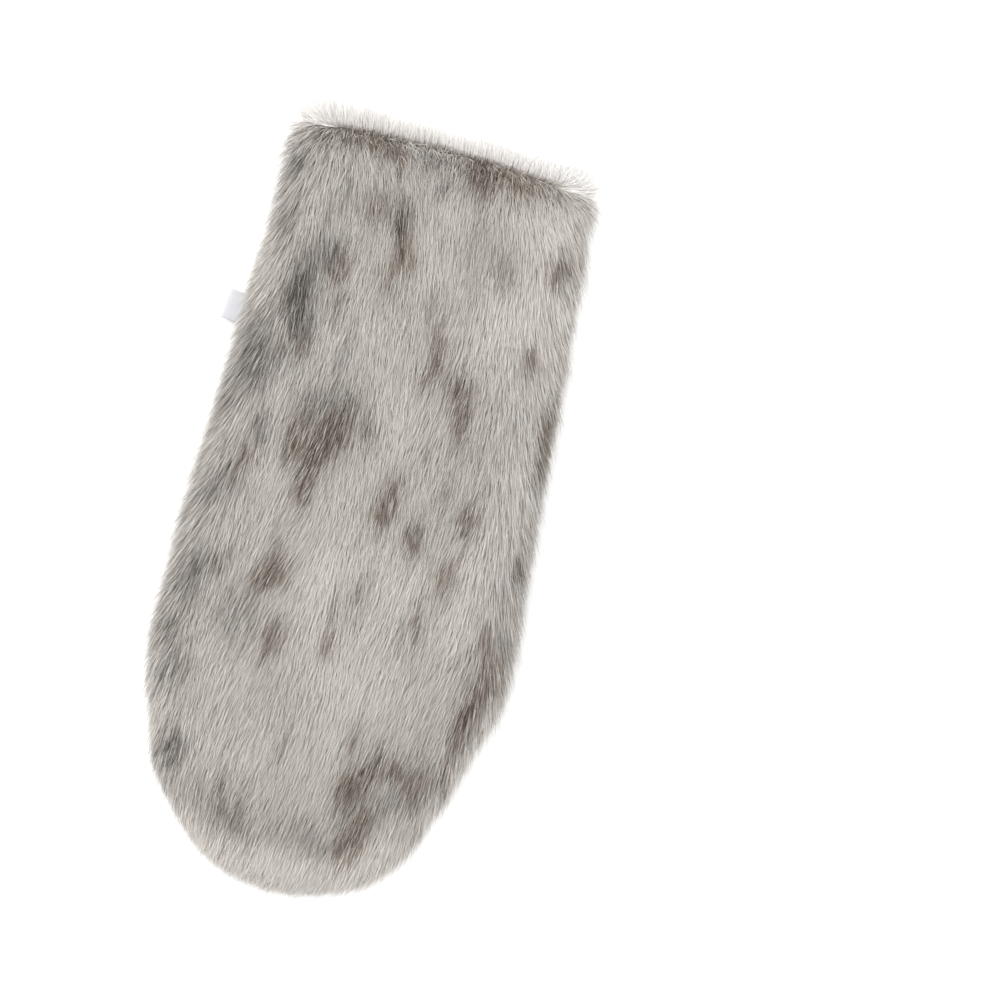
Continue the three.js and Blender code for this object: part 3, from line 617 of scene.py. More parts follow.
fine = stations(3.2, 44)
LOW = (np.pi / 2) * (1 - np.arange(7) / 7)
HIGH = (np.pi / 2) * np.arange(0, 23) / 22
outer, inner = back_skin(fine, LOW, HIGH)
skin_outer, skin_inner = lay(*outer), lay(*inner)
skin_outer, skin_inner = lean(skin_outer), lean(skin_inner)
verts, faces = sheet_solid(skin_outer, skin_inner)
skin_x, skin_t = place_of(verts)
skin_dark, _ = darkness_at(skin_x, skin_t)
n_outer = skin_outer.shape[0] * skin_outer.shape[1]
pelt = mesh_object("pelt_skin", verts, faces, tone=dict(
    darkness=np.clip(skin_dark + 0.25 + 0.2 * (skin_t < 3), 0, 1),
    flesh=np.r_[np.zeros(n_outer), np.ones(n_outer)] * (skin_t > 3)))
weld(pelt)
finish_piece(pelt, SKIN, "fur", "fur_back")


# ------------------------------------------------------------------ hair
def sample_surface(grid, count, weight=None):
    """Random places on a grid surface, by area: positions and smooth normals."""
    rows, cols = grid.shape[:2]
    q = grid_faces(rows, cols)
    tris = np.concatenate([q[:, [0, 1, 2]], q[:, [0, 2, 3]]])
    p = grid.reshape(-1, 3)
    n = normals_of(grid).reshape(-1, 3)
    a, b, c = p[tris[:, 0]], p[tris[:, 1]], p[tris[:, 2]]
    area = 0.5 * np.linalg.norm(np.cross(b - a, c - a), axis=1)
    if weight is not None:
        area = area * weight((a + b + c) / 3)
    pick = rng.choice(len(tris), count, p=area / area.sum())
    r1, r2 = np.sqrt(rng.random(count)), rng.random(count)
    w = np.stack([1 - r1, r1 * (1 - r2), r1 * r2], 1)[..., None]
    t = tris[pick]
    pos = (p[t] * w).sum(1)
    nrm = (n[t] * w).sum(1)
    nrm /= np.linalg.norm(nrm, axis=1, keepdims=True)
    return pos, nrm


def nearest_on(tree, points):
    loc = np.empty_like(points)
    nrm = np.empty_like(points)
    find = tree.find_nearest
    for i, p in enumerate(points.tolist()):
        l, n, _, _ = find(p)
        loc[i], nrm[i] = l, n
    return loc, nrm


def unit(v):
    return v / np.maximum(np.linalg.norm(v, axis=-1, keepdims=True), 1e-9)


def along_surface(d, n):
    return unit(d - (d * n).sum(-1, keepdims=True) * n)


def clump(points, spacing, pulls, seed):
    """Draws hairs towards the hair in the middle of their lock."""
    roots = points[:, 0]
    area = max(len(roots), 1)
    guides = rng.choice(area, max(2, int(area / spacing)), replace=False)
    tree = KDTree(len(guides))
    for i, g in enumerate(guides):
        tree.insert(roots[g].tolist(), i)
    tree.balance()
    find = tree.find
    own = np.array([guides[find(r)[1]] for r in roots.tolist()])
    return own, [points[:, k] * (1 - w) + points[own, k] * w for k, w in enumerate(pulls)]


def ribbons(points, wide, roll, normals, u, band, rows=(0, 1, 2)):
    """Flat tapering hairs along points (count, 4, 3), with cross rows at the given ones and a sharp end."""
    count, m = len(points), 2 * len(rows)
    tangent = np.gradient(points, axis=1)
    across = unit(np.cross(tangent, normals[:, None]))
    up = unit(np.cross(across, tangent))
    across = across * np.cos(roll)[:, None, None] + up * np.sin(roll)[:, None, None]
    rows = list(rows)
    half = 0.5 * wide[:, None, None] * np.array([0.75, 1.0, 0.85])[None, rows, None]
    left = points[:, rows] - across[:, rows] * half
    right = points[:, rows] + across[:, rows] * half
    v = np.empty((count, m + 1, 3))
    v[:, 0:m:2], v[:, 1:m:2], v[:, m] = left, right, points[:, 3]
    base = np.arange(count)[:, None] * (m + 1)
    quads = np.concatenate([base + np.array([[i, i + 1, i + 3, i + 2]]) for i in range(0, m - 2, 2)])
    tris = base + np.array([[m - 2, m - 1, m]])
    uv = np.empty((count, m + 1, 2))
    along = np.r_[np.repeat(np.array([0, 0.3, 0.65])[rows], 2), 1.0]
    uv[..., 1] = (band[:, None] + 0.04 + 0.92 * along[None]) / 4
    uv[..., 0] = np.clip(u, 0.02, 0.98)[:, None] + 0.006 * np.r_[np.tile([-1, 1], m // 2), 0][None]
    return v.reshape(-1, 3), quads, tris, uv.reshape(-1, 2)


def lay_angle(x, t):
    """Turn of the fur's lay from straight towards the tips, in degrees, towards -X."""
    n = x / fur_half(np.clip(t, 0, END_FROM))
    at = np.array(list(LAY))
    across = np.stack([np.interp(x, LAY_X, row) for row in LAY.values()])
    i = np.clip(np.searchsorted(at, t) - 1, 0, len(at) - 2)
    w = smooth((t - at[i]) / (at[i + 1] - at[i]))
    k = np.arange(len(x))
    a = across[i, k] * (1 - w) + across[i + 1, k] * w
    # the lift of the hair carries it outwards by itself
    own_n = [-0.95, -0.855, -0.76, -0.645, -0.5, -0.32, -0.13, 0.065, 0.26, 0.45, 0.63, 0.77, 0.89, 0.97]
    own_a = [9, 14, 13, 11, 9, 4.5, 1.5, -1, -4, -5, -12, -13, -13, -6]
    a = a - np.interp(n, own_n, own_a) * (2 - smooth((t - 2) / 14)) * (1 - smooth((t - 245) / 20))
    a = a + 2.6 * noise(x / 14, t / 22, 3) + 1.3 * noise(x / 5, t / 9, 4)
    return a


surface = BVHTree.FromPolygons(skin_outer.reshape(-1, 3).tolist(), grid_faces(*skin_outer.shape[:2]).tolist())


def back_hair(count):
    def more(p):  # closer set on top, where it is seen, and at the rim
        x, t = place_of(p)
        return np.where(p[:, 2] < seam_z(np.clip(t, 0, 280)) + 1.0, 0.7, 1.0) * (1 + (0.6 + 0.8 * (np.abs(x) > 43)) * (t < 6))
    root, nrm = sample_surface(skin_outer, count, more)
    inward = nearest_inside(root)
    nrm = np.where((nrm * inward).sum(1, keepdims=True) > 0, -nrm, nrm)
    x, t = place_of(root)
    rim = 1 - smooth(t / 13)
    part = 1 - smooth(t / 5)
    wild = np.where(rng.random(count) < 0.15, 12.0, 5.0) + 12 * rim
    angle = np.radians(lay_angle(x, t) + rng.normal(0, 1, count) * wild)
    bend = np.radians(rng.normal(0, 5.0, count))
    level = np.sqrt(np.maximum(0, 1 - nrm[:, 2] ** 2))  # 0 on top, 1 where the surface stands upright
    flow = np.stack([-np.sin(angle), -np.cos(angle), -0.10 - 0.25 * smooth((t - 250) / 25)], 1)
    flow[:, 1] += 0.30 * part + 0.25 * part * rng.normal(0, 1, count)
    flow[:, 0] += np.clip(x / 25, -1, 1) * level * (0.15 + 0.8 * part)
    long = HAIR_LENGTH * (0.74 + 0.36 * rng.random(count)) * (1 - (0.36 * rim + 0.16 * part) * (1 - 0.75 * level))
    long *= 1 + level * (-0.04 + 0.50 * rng.random(count) ** 3)
    long *= 1 - (0.24 + 0.08 * (x > 0) + 0.12 * np.exp(-(((x + 3) / 14) ** 2))) * smooth((t - 260) / 13)
    long *= 1 + 0.08 * level * (x < 0) * smooth((t - 85) / 30) * (1 - smooth((t - 190) / 15))
    long *= 1 + 0.22 * level * (x < 0) * (1 - smooth((t - 14) / 26))
    stray = smooth((x - 46) / 8) * (1 - smooth((t - 20) / 20)) * (rng.random(count) < 0.25)
    long *= 1 + 0.35 * stray
    away = (t < 2.2) & (rng.random(count) < 0.32)    # beside the parting some lean outwards
    flow[:, 1] = np.where(away, 0.9 + 0.3 * rng.random(count), flow[:, 1])
    long = np.where(away, long * 0.66, long)
    long *= 1 + 0.06 * noise(x / 4, t / 8, 21)
    lift = 28 + 2 * noise(x / 2.2, t / 5.0, 22) + rng.normal(0, 5.5, count)
    lift = [lift + 18 * rim + 12 * level + 14 * part, 0.36 * lift + 12 * rim + 11 * level + 14 * part,
            0.04 * lift + 7 * rim + 13 * level + 10 * part]
    edge = smooth((np.abs(x) / fur_half(np.clip(t, 0, END_FROM)) - 0.8) / 0.2)
    pts = [root - nrm * 0.25]
    d = None
    at, n_at = root, nrm
    share = (0.28, 0.36, 0.36)
    for k in range(3):
        if k:
            at, n_at = nearest_on(surface, pts[-1])
            n_at = np.where((n_at * prev_n).sum(1, keepdims=True) < 0, -n_at, n_at)
        prev_n = n_at
        a = np.radians(lift[k])[:, None]
        cb, sb = np.cos(bend * (k - 1)), np.sin(bend * (k - 1))
        curl = np.stack([flow[:, 0] * cb - flow[:, 1] * sb, flow[:, 0] * sb + flow[:, 1] * cb, flow[:, 2]], 1)
        want = unit(along_surface(curl, n_at) * np.cos(a) + n_at * np.sin(a))
        if d is not None:
            hold = 0.35 + 0.3 * edge[:, None]
            want = unit(want * (1 - hold) + d * hold)
        d = want
        pts.append(pts[-1] + d * (long * share[k])[:, None])
    pts = np.stack(pts, 1)
    own, pulled = clump(pts, 5.0, (0, 0.03, 0.07, 0.13), 5)
    pts = above_floor(np.stack(pulled, 1))
    # colour at the middle of what shows of the hair
    sx, st_ = place_of(pts[:, 2] * 0.88 + pts[:, 3] * 0.12)
    # at the rim the hairs show from their roots
    dark, brown = darkness_at(sx + rng.normal(0, 0.9, count), st_ - 2.0 * rim + rng.normal(0, 2.0, count))
    lock = rng.normal(0, 1, count)[own]
    each = rng.normal(0, 1, count)
    dark = np.where(dark > 0, dark * (1.03 + 0.42 * noise(sx / 0.8, st_ / 7, 34) + 0.42 * rng.normal(0, 1, count)), dark)
    dark = np.where((dark > 0) & (rng.random(count) < 0.14), 0.2 * dark, dark)  # pale hairs among the dark
    u = 0.156 + 1.08 * dark - 0.045 * rim + 0.010 * lock + (0.024 + 0.13 * level + 0.06 * rim) * each
    u += 0.018 * noise(sx / 1.0, st_ / 12, 31) + 0.03 * noise(sx / 7, st_ / 11, 32)
    thin = rng.random(count) < 0.15     # fine dark hairs among the pale ones
    u += (0.145 + 0.3 * np.maximum(dark, 0) + 0.42 * level) * thin * (0.5 + rng.random(count))
    u -= 0.09 * smooth((-u + 0.9) / 0.9) * (st_ < 2) * (rng.random(count) < 0.5)
    # the edges are paler, where only the tips show
    pale = smooth((np.abs(sx) / fur_half(np.clip(st_, 0, END_FROM)) - 0.93) / 0.10)
    pale = np.maximum(pale, 2.5 * smooth((st_ - 258 + 8 * smooth((sx - 10) / 25)) / 14))
    pale = np.maximum(pale, (1.5 + 0.6 * (x > 0)) * smooth((t - 192) / 24) * smooth((level - 0.42) / 0.4))
    u -= 0.10 * pale + 0.12 * smooth((np.abs(sx) - 51) / 5) * (1 - smooth(st_ / 9))
    # painted shade: the hairs rooted below the side seam, on the underside towards the floor, are made darker
    under = root[:, 2] < seam_z(np.clip(t, 0, 280)) + 1.0
    u += 0.06 * under
    kind = rng.random(count)
    u = np.where(u < 0.06, 0.06 + 0.25 * (u - 0.06), u)
    band = np.where(brown * np.clip(dark * 3, 0, 1) + 0.25 * kind > 0.52, 2, np.where(kind + 0.2 * noise(sx / 9, st_ / 9, 33) < 0.42, 1, 0))
    wide = HAIR_WIDTH * (0.6 + 0.75 * rng.random(count)) * np.where(thin, 0.62, 1.0)
    roll = rng.normal(0, 0.25, count)
    plain = np.argsort(level) < 0
    plain[np.argsort(level + 2 * (t < 7))[:int(0.6 * count)]] = True    # the ones that lie straight need fewer points
    return pts, wide, roll, nrm, u, band, t, plain


def above_floor(p):
    """Hairs that would dip under the table bend along it."""
    z = p[..., 2]
    p[..., 2] = np.where(z < 1.2, 0.15 + 1.05 * np.exp((np.minimum(z, 1.2) - 1.2) / 1.05), z)
    return p


def nearest_inside(p):
    """Direction from a point of the back towards the middle of the hollow."""
    x, t = place_of(p)
    tt = np.clip(t, 0, SPINE_END)
    middle = lay(x * 0.35, tt * 0.98, seam_z(np.clip(tt, 0, 280)) + 5)
    return unit(middle - p)


def make_hair(name, data, pick, *nodes):
    vs, quads, tris, uvs, off = [], [], [], [], 0
    plain = data[7][pick]
    for chosen, rows in ((pick[plain], (0, 2)), (pick[~plain], (0, 1, 2))):
        if not len(chosen):
            continue
        pts, wide, roll, nrm, u, band = (a[chosen] for a in data[:6])
        v, q, f, uv = ribbons(pts, wide, roll, nrm, u, band.astype(float), rows)
        vs.append(v)
        quads.append(q + off)
        tris.append(f + off)
        uvs.append(uv)
        off += len(v)
    ob = mesh_object(name, np.concatenate(vs), [np.concatenate(quads), np.concatenate(tris)], uv=np.concatenate(uvs))
    slot = "facing_fur" if "facing" in name else "fur"
    return finish_piece(ob, HAIR, slot, *nodes)


hair = back_hair(HAIRS_ON_BACK)
order = np.argsort(hair[6])
load = np.cumsum(np.where(hair[7][order], 3, 5))
cuts = np.searchsorted(load, load[-1] * np.arange(1, 4) / 4)
for name, part in zip(("cuff_fur", "hand_fur", "finger_fur", "tip_fur"), np.split(order, cuts)):
    make_hair(name, hair, part, "fur_back")


# ------------------------------------------------------------------ fur facing
def facing_arch(u, t):
    """Point of the pelt's inner face at u from -1 to 1 over the arch, in x and z, and the way down into the hollow."""
    at = np.maximum(t, 0)
    half, mid = fur_half(at) - PILE - PELT, seam_z(at) + 4

    def point(u):
        a = (np.pi / 2) * (1 - np.abs(u))
        return np.stack([np.sign(u) * half * np.cos(a) ** ROUND, mid + (crown_z(at) - PELT - mid) * np.sin(a) ** ROUND], -1)
    p, q = point(u), point(u + 0.01) - point(u - 0.01)
    q = unit(q)
    return p, np.stack([q[..., 1], -q[..., 0]], -1)


# Section of the facing's skin: along the mouth and deeper into the hollow.
FACING_SKIN = [
    dict(t=22.0, depth=0.5, fur=0), dict(t=14.0, depth=0.5, fur=0), dict(t=6.0, depth=0.45, fur=0),
    dict(t=0.3, depth=0.35, fur=0), dict(t=-0.45, depth=0.05, fur=0), dict(t=-1.0, depth=0.15, fur=1),
    dict(t=-1.35, depth=0.6, fur=1), dict(t=-1.25, depth=1.15, fur=1), dict(t=-0.7, depth=1.6, fur=1),
    dict(t=1.5, depth=1.75, fur=1), dict(t=6.0, depth=1.8, fur=1), dict(t=14.0, depth=1.8, fur=1),
    dict(t=21.6, depth=1.7, fur=1), dict(t=22.3, depth=1.1, fur=1),
]
us = np.linspace(-0.985, 0.985, 120)
rows = []
for r in FACING_SKIN:
    p, down = facing_arch(us, r["t"])
    q = p + down * r["depth"]
    rows.append(lay(q[:, 0], r["t"], q[:, 1]))
ring = np.stack(rows, 1)
cols = ring.shape[1]
v = ring.reshape(-1, 3)
i = np.arange(len(us) - 1)[:, None] * cols
j = np.arange(cols)[None]
a = (i + j).ravel()
b = (i + (j + 1) % cols).ravel()
faces = np.stack([a, b, b + cols, a + cols], 1)
caps = np.stack([np.arange(cols), (len(us) - 1) * cols + np.arange(cols)[::-1]])
facing = mesh_object("facing_skin", v, [faces, caps], tone=dict(
    darkness=np.full(len(v), 0.55), flesh=np.zeros(len(v))))
weld(facing)
finish_piece(facing, SKIN, "facing_fur", "cuff_fur_facing")


def facing_hair(count):
    fold = rng.random(count) < 0.80          # on the fold at the rim; the others line the inside
    u = rng.uniform(-0.985, 0.985, count)
    puff = fold & (rng.random(count) < 0.27)   # fans out round the two corners
    u = np.where(puff, rng.choice([-1, 1], count) * rng.uniform(0.55, 0.985, count), u)
    fan = rng.uniform(-0.40, 1.0, count)     # below 0 on the pelt's edge, 1 on the side of the hollow
    t = np.where(fold, -0.3 - 1.0 * np.sin(np.pi * np.maximum(fan, 0)) + 0.25 * (fan < 0), rng.uniform(1.0, 22.0, count))
    depth = np.where(fold, np.where(fan < 0, 3.2 * fan, 0.05 + 1.5 * fan), 1.75)
    p, down = facing_arch(u, t)
    q = p + down * depth[:, None]
    root = lay(q[:, 0], t, q[:, 1])
    down3 = np.stack([down[:, 0], np.zeros(count), down[:, 1]], 1)
    # a fan across the fold: the outer hairs stand up, the inner ones lean into the mouth
    spread = np.where(fold, -1.15 + 1.4 * np.maximum(fan, 0) ** 0.7 + 0.9 * np.minimum(fan, 0) + rng.normal(0, 0.24, count),
                      0.34 + rng.normal(0, 0.10, count))
    corner = smooth((np.abs(root[:, 0]) / 51 - 0.80) / 0.20)
    side = np.sign(u) * corner * np.where(u > 0, 1.15, 0.95)
    sway = 0.16 * noise(u * 30, t * 0 + 1.0, 41) + 0.10 * noise(u * 90, t * 0 + 3.0, 43) + rng.normal(0, 0.17, count) - 0.10
    out = np.stack([sway + side * np.where(fold, rng.uniform(0.1, 1.3, count), 0.2), np.ones(count), np.zeros(count)], 1)
    turn = np.radians(8 + np.where(u > 0, 128, 112) * rng.random(count) ** 1.5)
    round_corner = np.stack([np.sign(u) * np.sin(turn), np.cos(turn), np.zeros(count)], 1) * 1.3
    out = np.where(puff[:, None], round_corner, out)
    spread = np.where(puff, -0.55 + 0.3 * rng.normal(0, 1, count), spread)
    d0 = unit(out + down3 * spread[:, None])
    ragged = 1 + 0.10 * noise(u * 40, t * 0 + 5.0, 44) + 0.08 * noise(u * 13, t * 0 + 7.0, 45)
    long = np.where(fold, 12.6, 9.5) * (0.36 + 0.64 * rng.random(count) ** 1.5) * ragged
    long *= 1 - 0.06 * corner * fold
    long *= 1 - np.where(u > 0, 0.04, 0.20) * puff * smooth((turn - 1.05) / 0.7)
    long *= 1 + 0.45 * (puff & (rng.random(count) < 0.16)) * rng.random(count)
    pts = [root]
    d = d0
    for share in (0.30, 0.35, 0.35):
        pts.append(pts[-1] + d * (long * share)[:, None])
        d = unit(d + np.array([0, 0.12, -0.10]) + rng.normal(0, 0.07, (count, 3)))
    pts = np.stack(pts, 1)
    own, pulled = clump(pts, 6.0, (0, 0.06, 0.16, 0.26), 6)
    pts = above_floor(np.stack(pulled, 1))
    lock = rng.normal(0, 1, count)[own]
    x = root[:, 0]
    # painted shade: the hairs that line the inside of the hollow, off the fold, are made darker
    u_tone = 0.05 + 0.03 * lock + 0.055 * rng.normal(0, 1, count) + 0.07 * noise(x / 9, t * 0, 42) + np.where(fold, 0, 0.16)
    u_tone = u_tone + np.where(fold & (fan < 0), 0.06, 0) + 0.08 * puff
    band = np.full(count, 3)
    wide = 0.18 * (0.6 + 0.7 * rng.random(count))
    roll = rng.normal(0, 0.6, count)
    nrm = unit(-down3 + np.array([0, 0.2, 0]))
    return pts, wide, roll, nrm, u_tone, band, t, np.zeros(count, bool)


fringe = facing_hair(HAIRS_ON_FACING)
make_hair("facing_fur", fringe, np.arange(len(fringe[0])), "cuff_fur_facing")


# ------------------------------------------------------------------ palm
def distance_to(outline, x, t):
    best = np.full(x.shape, 1e9)
    inside = np.zeros(x.shape, bool)
    n = len(outline)
    for i in range(n):
        a, b = outline[i], outline[(i + 1) % n]
        dx, dt = b["x"] - a["x"], b["t"] - a["t"]
        s = np.clip(((x - a["x"]) * dx + (t - a["t"]) * dt) / (dx * dx + dt * dt), 0, 1)
        best = np.minimum(best, np.hypot(x - a["x"] - s * dx, t - a["t"] - s * dt))
        cross = (a["t"] > t) != (b["t"] > t)
        if dt:
            inside ^= cross & (x < a["x"] + (t - a["t"]) / dt * dx)
    return np.where(inside, -best, best)


def palm_floor(x, t):
    band = BAND_LIFT * np.exp(-(((t - BAND_T) / 9) ** 2))
    over = smooth((17 - distance_to(THUMB_OUTLINE, x, t)) / 12)
    return np.maximum(band * (1 - over), 0) + THUMB_LIFT * over


STITCH_ROWS = (34.0, 43.0)


def puckers(x, t):
    """Gathers that the elastic draws up at the wrist, and the folds that run out of them."""
    phase = x / 7.6 * 2 * np.pi + 1.3 * noise(x / 15, t / 30, 51) * 2
    ridge = (0.5 + 0.5 * np.cos(phase)) ** 1.4
    narrow = np.exp(-(((t - 38.5) / 7.0) ** 2))
    spread = smooth((t - 38) / 6) * (1 - smooth((t - 44) / 32)) + smooth((39 - t) / 6) * (1 - smooth((33 - t) / 18))
    fold = 0.5 + 0.5 * np.cos(x / 12.5 * 2 * np.pi + 2.2 * noise(x / 18, t / 40, 52))
    z = 1.5 * ridge * narrow + 1.3 * fold * spread * (1 + 0.4 * noise(x / 9, t / 20, 53))
    for row in STITCH_ROWS:
        z += 0.5 * np.exp(-(((t - row) / 1.9) ** 2))  # the stitch rows pull in
    return z


def palm_creases(x, t):
    """Soft dents of the leather over the fingers and by the thumb."""
    z = 0.35 * (1 + noise(x / 22, t / 26, 55)) * smooth((t - 70) / 20)
    z += 0.18 * (1 + noise(x / 8, t / 12, 56)) * smooth((t - 60) / 20)
    return z


def palm_sheets(st):
    ins = np.r_[np.linspace(0, 1, 9) ** 1.6 * PALM_EDGE]
    steps = 28
    seam = rim_point(st, seam_half, SEAM_TIP, GAP + 0.1)
    s_t = spine_t(st)
    length = np.hypot(seam[0], seam[1] - s_t)
    d = np.concatenate([np.broadcast_to(ins, (len(s_t), len(ins))),
                        PALM_EDGE + (length[:, None] - PALM_EDGE) * np.arange(1, steps + 1)[None] / steps], 1)
    q = d / length[:, None]
    x = seam[0][:, None] * (1 - q)
    x[:, -1] = 0
    t = seam[1][:, None] + (s_t - seam[1])[:, None] * q
    near = np.where(st["end"] == 0, np.clip(1 - st["t"] / 14, 0, 1), 0)[:, None]
    t = t + near * (1 + 3 * smooth(1 - np.abs(x) / 44))
    base = palm_floor(x, t)
    top = seam_z(t) - GAP
    edge = np.where(d >= PALM_EDGE, 0, 1 - np.sqrt(np.maximum(1 - (1 - d / PALM_EDGE) ** 2, 0)))
    base = base + (puckers(x, t) + palm_creases(x, t)) * smooth(d / 9)
    z = base + (np.maximum(top, base + 0.5) - base) * edge
    return x, t, z, d


palm_st = stations(1.6, 40)
px, pt, pz, pd = palm_sheets(palm_st)
palm_outer = lean(lay(px, pt, pz))
rows, cols = palm_outer.shape[:2]
# normals across the spine: the grid is continued by the other half's mirror rows
ext = np.concatenate([palm_outer, palm_outer[::-1, ::-1][:, 1:3]], 1)
n = normals_of(ext)[:, :cols]
n = np.where(n[..., 2:] < 0, -n, n)
n[:, -1, 0] = 0
n = unit(n)
palm_inner = palm_outer + n * LEATHER
palm_inner[:, -1] = 0.5 * (palm_inner[:, -1] + palm_inner[::-1, -1])
verts, faces = sheet_solid(palm_outer, palm_inner)
n_outer = rows * cols
palm = mesh_object("palm_shell", verts, faces, tone=dict(
    flesh=np.r_[np.zeros(n_outer), np.ones(n_outer)], wear=np.zeros(2 * n_outer)))
weld(palm)
finish_piece(palm, BLACK, "leather", "palm_leather")


# ------------------------------------------------------------------ thumb
def thumb_outline(inset, count):
    n = len(THUMB_OUTLINE)
    pts = np.array([[p["x"], p["t"]] for p in THUMB_OUTLINE])
    out = []
    per = 24
    for i in range(n):
        p0, p1, p2, p3 = pts[i - 1], pts[i], pts[(i + 1) % n], pts[(i + 2) % n]
        m1, m2 = 0.35 * (p2 - p0), 0.35 * (p3 - p1)
        s = (np.arange(per) / per)[:, None]
        out.append((2 * s**3 - 3 * s**2 + 1) * p1 + (s**3 - 2 * s**2 + s) * m1 + (3 * s**2 - 2 * s**3) * p2 + (s**3 - s**2) * m2)
    c = np.concatenate(out)
    seg = np.linalg.norm(np.roll(c, -1, 0) - c, axis=1)
    total = np.r_[0, np.cumsum(seg)]
    want = np.linspace(0, total[-1], count, endpoint=False)
    closed = np.vstack([c, c[:1]])
    ring = np.stack([np.interp(want, total, closed[:, k]) for k in (0, 1)], 1)
    to = np.array(THUMB_MIDDLE) - ring
    return ring + unit(to) * inset


def pillow(inset, bottom, top, rim_count=150, ring_count=20):
    rim = thumb_outline(inset, rim_count)
    to = np.array(THUMB_MIDDLE) - rim
    length = np.linalg.norm(to, axis=1, keepdims=True)
    d = np.r_[THUMB_EDGE * (np.linspace(0, 1, ring_count) ** 1.7)]
    inner = np.linspace(0, 1, 12)[1:-1]
    middle = (bottom + top) / 2
    sheets = []
    for side in (1, -1):
        rings = []
        for dd in d:
            rise = np.sqrt(max(0, 1 - (1 - dd / THUMB_EDGE) ** 2)) ** 0.9
            p = rim + to / length * dd
            rings.append(np.c_[p, np.full(len(p), middle + side * rise * (top - bottom) / 2)])
        for f in inner:
            p = rim + to / length * (THUMB_EDGE + (length - THUMB_EDGE) * f)
            rings.append(np.c_[p, np.full(len(p), middle + side * (top - bottom) / 2)])
        sheets.append(np.stack(rings))
    return sheets


def thumb_piece():
    v_all, f_all, off = [], [], 0
    for (inset, bottom, top) in ((0.0, 0.0, THUMB_TOP),):
        for side, sheet in zip((1, -1), pillow(inset, bottom, top)):
            r, c = sheet.shape[:2]
            x, t, z = sheet[..., 0], sheet[..., 1], sheet[..., 2]
            p = lay(x, t, z).reshape(-1, 3)
            centre = lay(np.array(THUMB_MIDDLE[0]), THUMB_MIDDLE[1], top if side > 0 else bottom)
            v_all.append(np.vstack([p, centre[None]]))
            i = np.arange(r - 1)[:, None] * c
            j = np.arange(c)[None]
            a, b = (i + j).ravel(), (i + (j + 1) % c).ravel()
            f_all.append(np.stack([a, b, b + c, a + c], 1) + off)
            last = (r - 1) * c
            k = np.arange(c)
            f_all.append(np.stack([last + k, last + (k + 1) % c, np.full(c, r * c)], 1) + off)
            off += r * c + 1
    return np.concatenate(v_all), f_all


v, f = thumb_piece()
thumb = mesh_object("thumb_shell", v, f, tone=dict(flesh=np.zeros(len(v)), wear=np.zeros(len(v))))
weld(thumb)
finish_piece(thumb, BLACK, "leather", "thumb_leather")


def tube(path, radius_a, radius_b, sides=8):
    """Closed tube along a path in millimetres, radius_b is its height."""
    path = np.asarray(path, float)
    d = unit(np.gradient(path, axis=0))
    across = unit(np.cross(d, np.array([0, 0, 1.0])))
    up = np.cross(across, d)
    a = 2 * np.pi * np.arange(sides) / sides
    ring = (across[:, None] * np.cos(a)[None, :, None] * radius_a[:, None, None]
            + up[:, None] * np.sin(a)[None, :, None] * radius_b[:, None, None])
    v = (path[:, None] + ring).reshape(-1, 3)
    n = len(path)
    i, j = np.arange(n - 1)[:, None] * sides, np.arange(sides)[None]
    p, q = (i + j).ravel(), (i + (j + 1) % sides).ravel()
    quads = np.stack([p, q, q + sides, p + sides], 1)
    caps = np.stack([np.arange(sides)[::-1], (n - 1) * sides + np.arange(sides)])
    return v, quads, caps


def join_tubes(name, tubes):
    vs, qs, cs, off = [], [], [], 0
    for v, q, c in tubes:
        vs.append(v)
        qs.append(q + off)
        cs.append(c + off)
        off += len(v)
    count = sum(len(v) for v in vs)
    return mesh_object(name, np.concatenate(vs), [np.concatenate(qs), np.concatenate(cs)],
                       tone=dict(flesh=np.zeros(count), wear=np.full(count, 0.25)))


def palm_height(x, t):
    return palm_floor(x, t) + puckers(x, t) + palm_creases(x, t)


def stitches():
    out = []
    for row in STITCH_ROWS:
        x = -42.0
        while x < 41.5:
            xs = np.linspace(x, x + 2.6, 6)
            ts = np.full(6, row)
            sink = 0.45 * (np.abs(np.linspace(-1, 1, 6)) ** 3) - 0.30
            path = lay(xs, ts, palm_height(xs, ts) + sink)
            out.append(tube(path, np.full(6, 0.22), np.full(6, 0.20), 6))
            x += 3.5
    return out


finish_piece(join_tubes("palm_stitches", stitches()), THREAD, "leather", "palm_leather")


def thumb_welt():
    """The piped seam along the lower edge and round the end of the thumb."""
    ring = thumb_outline(0.0, 300)
    a = int(np.argmin(np.hypot(ring[:, 0] - 41.0, ring[:, 1] - 137.0)))
    b = int(np.argmin(np.hypot(ring[:, 0] + 34.0, ring[:, 1] - 158.0)))
    path = ring[a:b + 1] if a < b else np.concatenate([ring[a:], ring[:b + 1]])
    n = len(path)
    grow = np.sin(np.pi * np.clip(np.linspace(0, 1, n) * 8, 0, 0.5)) * np.sin(np.pi * np.clip((1 - np.linspace(0, 1, n)) * 8, 0, 0.5))
    pts = lay(path[:, 0], path[:, 1], np.full(n, THUMB_TOP * 0.52))
    return tube(pts, 0.25 + 0.75 * grow, 0.2 + 0.65 * grow, 10)


finish_piece(join_tubes("thumb_welt", [thumb_welt()]), BLACK, "leather", "thumb_leather")


# ------------------------------------------------------------------ label
LABEL_T, LABEL_ALONG, LABEL_TURN = 75.2, 11.4, 8.0
LABEL_PATH = [dict(out=0.0, z=5.8), dict(out=0.1, z=5.0), dict(out=1.4, z=4.0), dict(out=8.0, z=3.5), dict(out=19.8, z=2.6)]


